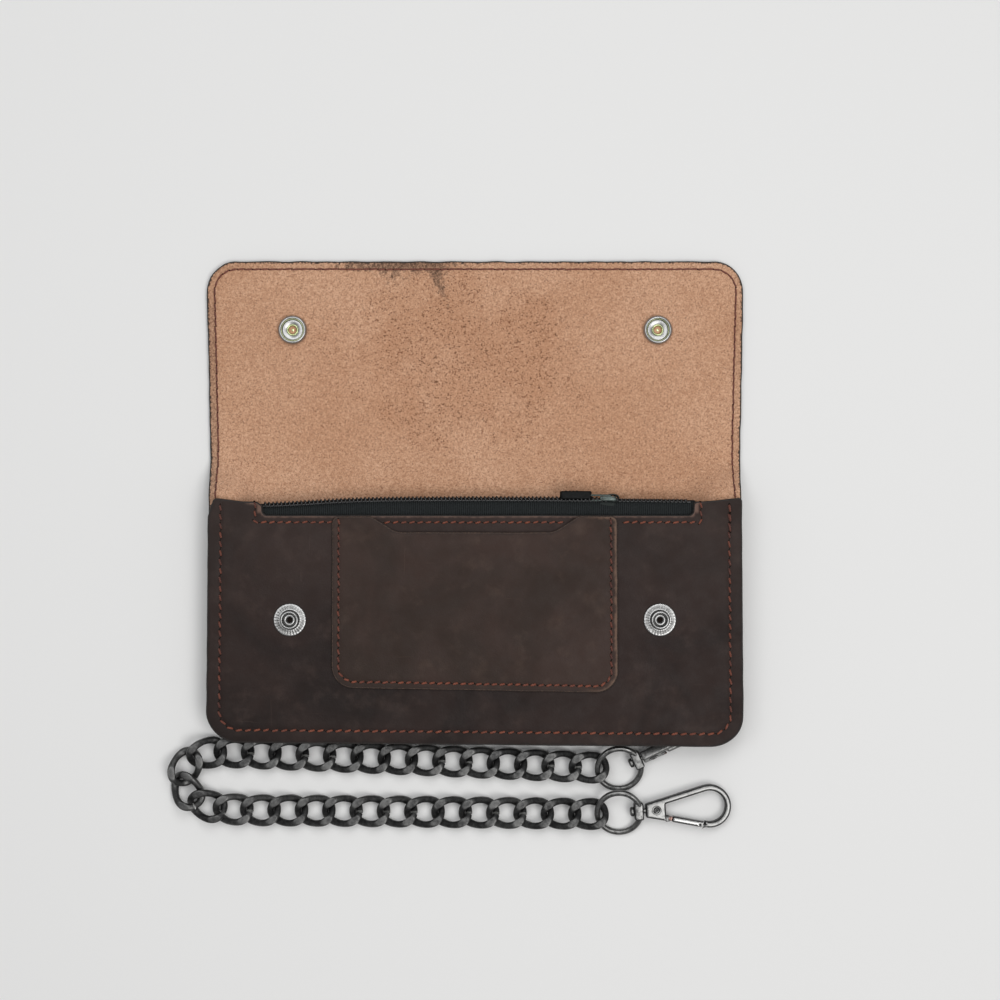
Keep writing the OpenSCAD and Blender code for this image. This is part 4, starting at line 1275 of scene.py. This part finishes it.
def hook_piece(pile, r, depth, rim):
    """The hook: a plate with a straight arm round a drop's tip of radius r, and ears that hold the gate."""
    cx = CLASP_LEN - r
    outer, inner = Drop(PLATE_X, PLATE_HALF, cx, r), Drop(PLATE_X, PLATE_HALF - STRIP, cx, r - STRIP)
    end_x = cx - min(2.1, 0.85 * (r - STRIP))
    lap_x = end_x - GATE_LAP
    outer_start = -math.pi / 2 - math.asin((cx - end_x) / r)
    inner_end = -math.pi / 2 - math.asin((cx - end_x) / (r - STRIP))
    middle_y = -(r - STRIP / 2)
    points = [[lap_x, -r * math.cos(math.asin(min(1, (cx - lap_x) / r))), 0.25]]
    points += outer.arc(outer_start, outer.angle)
    points += [[PLATE_X, PLATE_HALF, 0.5], [PLATE_X, -PLATE_HALF, 0.5],
               [PLATE_END, -outer.arm(PLATE_END), 0.35], [PLATE_END, inner.arm(PLATE_END), 0.5]]
    points += inner.arc(inner.angle, inner_end)
    points += [[end_x, middle_y + 0.1, 0.1], [lap_x, middle_y - 0.1, 0.25]]
    flat_piece(pile, rounded(points, 0.5), depth, 0.8, (np.eye(3), [0, 0, 0]), 0, 0.86, 0.6, 6, rim)
    y, ear_end = -gate_centre(r), GATE_X + 0.35
    ear = rounded([[PLATE_END - 0.4, y - 1.0, 0.2], [ear_end, y - 0.95, 0.8], [ear_end, y + 0.95, 0.8],
                   [PLATE_END - 0.4, y + 1.0, 0.2]], 0.3)
    for side in (-1, 1):
        flat_piece(pile, ear, 0.8, 0.25, (np.eye(3), [0, 0, side * (depth / 2 - 0.42)]), 0, 0.45, 0.6)


def gate_piece(pile, r, depth, rim):
    """The sprung gate, with a lap that shuts against the hook's end."""
    start = np.array([GATE_X, -gate_centre(r)])
    end = np.array([CLASP_LEN - r - 2.4, -(r - STRIP / 2) + 0.12])
    length = np.linalg.norm(end - start)
    turn = turned("z", math.degrees(math.atan2(end[1] - start[1], end[0] - start[0])))
    place = (turn, [start[0], start[1], 0])
    h = STRIP / 2
    bar = rounded([[0.95, -h, 0.6], [length - 1.55, -h, 0.15], [length - 1.5, -0.08, 0.05],
                   [length - 0.1, 0.12, 0.15], [length - 0.1, h, 0.3], [0.95, h, 0.6]], 0.4)
    flat_piece(pile, bar, depth - 0.1, 0.8, place, 0, 0.95, 0.5, 6, rim)
    knuckle = rounded([[-0.8, -0.75, 0.7], [1.6, -0.75, 0.1], [1.6, 0.75, 0.1], [-0.8, 0.75, 0.7]], 0.3)
    flat_piece(pile, knuckle, depth - 1.9, 0.2, place, 1, 0.6, 0.5)


def rivet_pieces(pile, r, depth):
    """The spring's rivet and the gate's pin, which show on both faces of the clasp."""
    wear_and_highlight = [0.85 if 0.45 < p < 0.8 or 1.1 < p < 1.6 else 0.0 for p, q in RIVET]
    for side in (1, -1):
        face = side * depth / 2
        verts, faces = lathe([(p, side * q) for p, q in RIVET], [RIVET_X, 0, face], RIVET_STEPS)
        pile.add(verts, faces, 0, wear_and_highlight * RIVET_STEPS)
        verts, faces = lathe([(p, side * q) for p, q in GATE_PIN], [GATE_X, -gate_centre(r), face], 24)
        pile.add(verts, faces, 1, 0.6)


def swivel_piece(pile):
    head_end = BOSS_X - BOSS_HALF - 0.1
    profile = [(0, head_end - 1.4), (0.9, head_end - 1.4), (1.35, head_end - 1.3), (1.62, head_end - 1.05),
               (1.7, head_end - 0.7), (1.68, head_end - 0.2), (1.5, head_end), (0.9, head_end),
               (0.88, PLATE_X + 0.05), (0, PLATE_X + 0.05)]
    verts, faces = lathe(profile, [0, 0, 0], 40)
    pile.add(np.array(verts) @ turned("y", 90).T, faces, 0, 0.5)


def eye_piece(pile, tilt, way):
    """Round eye, tilted about the clasp's frame, and its boss."""
    line = [[EYE_R * math.cos(a), EYE_R * math.sin(a), 0] for a in np.linspace(0, 2 * math.pi, 97)[:-1]]
    verts, faces = tube(line, oval(EYE_WIRE, EYE_WIRE, 18, 2.25), True)
    lean = turned("z", tilt[0]) @ turned("x", tilt[1])
    # The eye's outer side is brighter: partly rubbed, partly painted highlight
    wear_and_highlight = [0.95 if abs(v[2]) < 0.95 and math.hypot(v[0], v[1]) > EYE_R else 0.55 for v in verts]
    pile.add(np.array(verts) @ lean.T, faces, 0, wear_and_highlight)
    low, high = BOSS_X - BOSS_HALF, BOSS_X + BOSS_HALF
    boss = rounded([[low, -3.2, 0.7], [high, -3.2, 0.7], [high, 3.2, 0.7], [low, 3.2, 0.7]], 0.5)
    # The boss's outline is darkened as painted shade
    flat_piece(pile, boss, BOSS_DEPTH, 0.55, (way, [0, 0, 0]), 0, 0.62, 0.6, 4, 0.25)


def clasp(name, hook_r, depth, rim, tilt, turn_about, shift, closer, metal, gate_metal):
    """One clasp at its swivel's place. closer moves its hook towards the boss, shift all of it."""
    pivot = joint(f"{name}_clasp_swivel")
    eye = np.array(pivot["pos_m"]) / MM + np.array(shift)
    x, y, z = pivot["axis"]
    way = turned("z", math.degrees(math.atan2(y, x))) @ turned("y", -math.degrees(math.asin(z)))
    roll = way @ turned("x", turn_about)
    hook_at = eye + way @ [-closer, 0, 0]
    body = f"{name}_clasp"
    for part, maker, place, mats, slot, rides in (
            ("hook", lambda p: hook_piece(p, hook_r, depth, rim), (roll, hook_at), [metal],
             "clasp_metal", body),
            ("gate", lambda p: gate_piece(p, hook_r, depth, rim), (roll, hook_at), [gate_metal, COPPER],
             "gate_metal", body + "_gate"),
            ("rivets", lambda p: rivet_pieces(p, hook_r, depth), (roll, hook_at), [BLACK_STEEL, COPPER],
             "pin_metal", body),
            ("swivel_pin", swivel_piece, (roll, eye), [BLACK_STEEL], "pin_metal", body),
            ("eye", lambda p: eye_piece(p, tilt, way), (np.eye(3), eye), [CLASP],
             "clasp_metal", body + "_eye")):
        pile = Pile()
        maker(pile)
        obj = pile.build(f"{name}_{part}", mats, 40, place)
        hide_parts(f"{name}_clasp_{part}")
        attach(obj, rides)


def clasps():
    """The wallet's clasp is slimmer, lies on its side under the rim and sits closer to its boss."""
    # The fourth number is how far painted shade darkens the outline of each hook and gate: a little on the
    # wallet's clasp, much on the free one
    clasp("wallet", 3.6, 3.5, 0.75, (5, 18), 66, (0, 0, 0), 0.5, DARK_CLASP, DARK_CLASP)
    clasp("free", 7.7, 3.8, 0.1, (-5, 20), 0, (0, 0.6, 0), 0, CLASP, GATE)


# ---- Tab and eyelet under the wallet's corner ----
def chain_tab():
    centre = (eyelet_low + eyelet_high) / 2
    pile = Pile()
    reach, half = 19.5, 4.4
    path = rounded([[-5, -half, 4.2], [reach, -half, 1], [reach, half, 1], [-5, half, 4.2]], 0.7)
    flat_piece(pile, path, 1.4, 0.3, (turned("z", 135), centre), 0, 2.0, 1.0)
    obj = pile.build("tab_leather", [BACK_LEATHER], 50)
    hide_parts("chain_tab")
    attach(obj, "wallet_body")
    ring = Pile()
    upper = [(2.75, 0.75), (2.95, 1.02), (3.4, 1.12), (4.0, 1.06), (4.35, 0.9), (4.4, 0.7), (3.1, 0.7)]
    profile = [(2.7, 0)] + upper + [(r, -z) for r, z in upper[::-1]]
    verts, faces = lathe(profile, centre, 64)
    ring.add(verts, faces, 0, 0.7)
    obj = ring.build("tab_ring", [NICKEL], 50)
    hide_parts("tab_eyelet")
    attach(obj, "wallet_body")


# ---- Chain ----
LINK_A, LINK_B, LINK_TWIST, LINK_WIRE, LINK_FLAT = 6.2, 4.55, 1.82, 1.1, 2.42
LINK_STEPS, LINK_SIDES = 90, 18
LINK_SEAM, SEAM_GAP = -7, 4.0


def link_place(node):
    """Turn and centre of a link, from its CAD mesh: its longest, middle and shortest directions."""
    co = np.array([v.co for v in frame["nodes"][node].data.vertices], float) / MM
    co = np.unique(np.round(co, 4), axis=0)
    centre = co.mean(0)
    _, axes = np.linalg.eigh(np.cov((co - centre).T))
    x, z = axes[:, 2], axes[:, 0]
    z = z if z[2] > 0 else -z
    x = x if x[0] > 0 else -x
    return np.stack([x, np.cross(z, x), z], 1), centre


def link_mesh(cut, flat):
    """One curb link with filed flats, flat higher than usual. A cut one shows where its wire's ends meet."""
    start, total, count = 0, 360, LINK_STEPS
    if cut:
        start, total, count = LINK_SEAM + SEAM_GAP, 360 - 2 * SEAM_GAP, LINK_STEPS + 1
    t = np.radians(start + np.arange(count) * total / LINK_STEPS)
    line = np.stack([LINK_A * np.cos(t), LINK_B * np.sin(t), -LINK_TWIST * np.sin(2 * t)], 1)
    wide = LINK_WIRE + 0.08 + 0.2 * np.abs(np.sin(2 * t)) ** 2
    sections = [oval(w, LINK_WIRE, LINK_SIDES, 2.6) for w in wide]
    verts, faces = tube(line, sections, not cut)
    mats = [0] * len(faces)
    if cut:
        # The last two faces are the wire's ends
        mats[-2:] = [1, 1]
    limit = LINK_FLAT + flat
    z = verts[:, 2]
    over = np.abs(z) > limit
    verts[:, 2] = np.where(over, np.sign(z) * (limit + (np.abs(z) - limit) * 0.10), z)
    around = np.tile(np.arange(LINK_SIDES), count)
    outer = np.cos(2 * math.pi * (around + 0.5) / LINK_SIDES)
    # Brighter on the wire's outer side and on its filed flats: partly rubbed and filed bright, partly painted
    # highlight
    wear_and_highlight = 0.44 + 0.3 * np.maximum(outer, 0) ** 2 + 0.12 * over
    return verts, faces, mats, wear_and_highlight


def chain():
    for k in range(1, 33):
        node = f"link_{k:02d}"
        turn, centre = link_place(node)
        cut = draw.random() < 0.62
        verts, faces, mats, wear_and_highlight = link_mesh(cut, draw.uniform(-0.08, 0.06))
        pile = Pile()
        pile.add(verts, faces, mats, np.clip(wear_and_highlight + draw.uniform(-0.12, 0.12), 0, 1))
        obj = pile.build(f"curb_{node}", [CHAIN, BARE_STEEL], 50, (turn, centre))
        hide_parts(node)
        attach(obj, node)


# ---- Stage ----
def stage():
    half, floor_z = 1.6, min(0.0, cad_box[0].z) - 0.00005
    mesh = bpy.data.meshes.new("floor")
    corners = [(x, y, floor_z) for x, y in ((-half, -half), (half, -half), (half, half), (-half, half))]
    mesh.from_pydata(corners, [], [(0, 1, 2, 3)])
    floor = bpy.data.objects.new("floor", mesh)
    bpy.context.scene.collection.objects.link(floor)
    m = bpy.data.materials.new("floor_paper")
    m.use_nodes = True
    tree = m.node_tree
    shader = tree.nodes["Principled BSDF"]
    shader.inputs["Roughness"].default_value = 0.85
    shader.inputs["Specular IOR Level"].default_value = 0.1
    cloud = tree.nodes.new("ShaderNodeTexNoise")
    cloud.inputs["Scale"].default_value = 4
    tint = tree.nodes.new("ShaderNodeMix")
    tint.data_type = "RGBA"
    tint.inputs[6].default_value = (0.79, 0.79, 0.785, 1)
    tint.inputs[7].default_value = (0.82, 0.82, 0.815, 1)
    tree.links.new(cloud.outputs["Fac"], tint.inputs["Factor"])
    tree.links.new(tint.outputs[2], shader.inputs["Base Color"])
    mesh.materials.append(m)
    world = bpy.data.worlds.new("studio")
    bpy.context.scene.world = world
    world.use_nodes = True
    world.node_tree.nodes["Background"].inputs["Color"].default_value = (0.99, 0.995, 1.0, 1)
    world.node_tree.nodes["Background"].inputs["Strength"].default_value = 0.25
    for name, place, size, power, colour in (
            ("key", (0.42, -0.32, 1.20), 0.6, 6.6, (1.0, 0.99, 0.98)),
            ("fill", (-0.45, 0.24, 1.27), 0.8, 4.5, (0.99, 0.995, 1.0)),
            ("back", (0.20, 0.68, 1.20), 0.7, 4.4, (1.0, 1.0, 1.0))):
        lamp = bpy.data.lights.new(name, "AREA")
        lamp.size = size
        lamp.energy = power
        lamp.color = colour
        obj = bpy.data.objects.new(name, lamp)
        obj.location = place
        obj.rotation_euler = (Vector((0, 0.04, 0)) - Vector(place)).to_track_quat("-Z", "Y").to_euler()
        bpy.context.scene.collection.objects.link(obj)
    camera = bpy.data.objects.new("camera", bpy.data.cameras.new("camera"))
    camera.data.lens = 75.88
    camera.data.sensor_width = 36
    camera.location = (0.0089, 0.0434, 0.760)
    bpy.context.scene.collection.objects.link(camera)
    bpy.context.scene.camera = camera
    bpy.context.scene.view_settings.view_transform = "Standard"


stage()
outer_leather()
front_panel()
inner_panel()
card_pocket()
body_stitches()
zip_tapes()
zip_coils()
zip_slider()
zip_pull()
snaps()
clasps()
chain_tab()
chain()
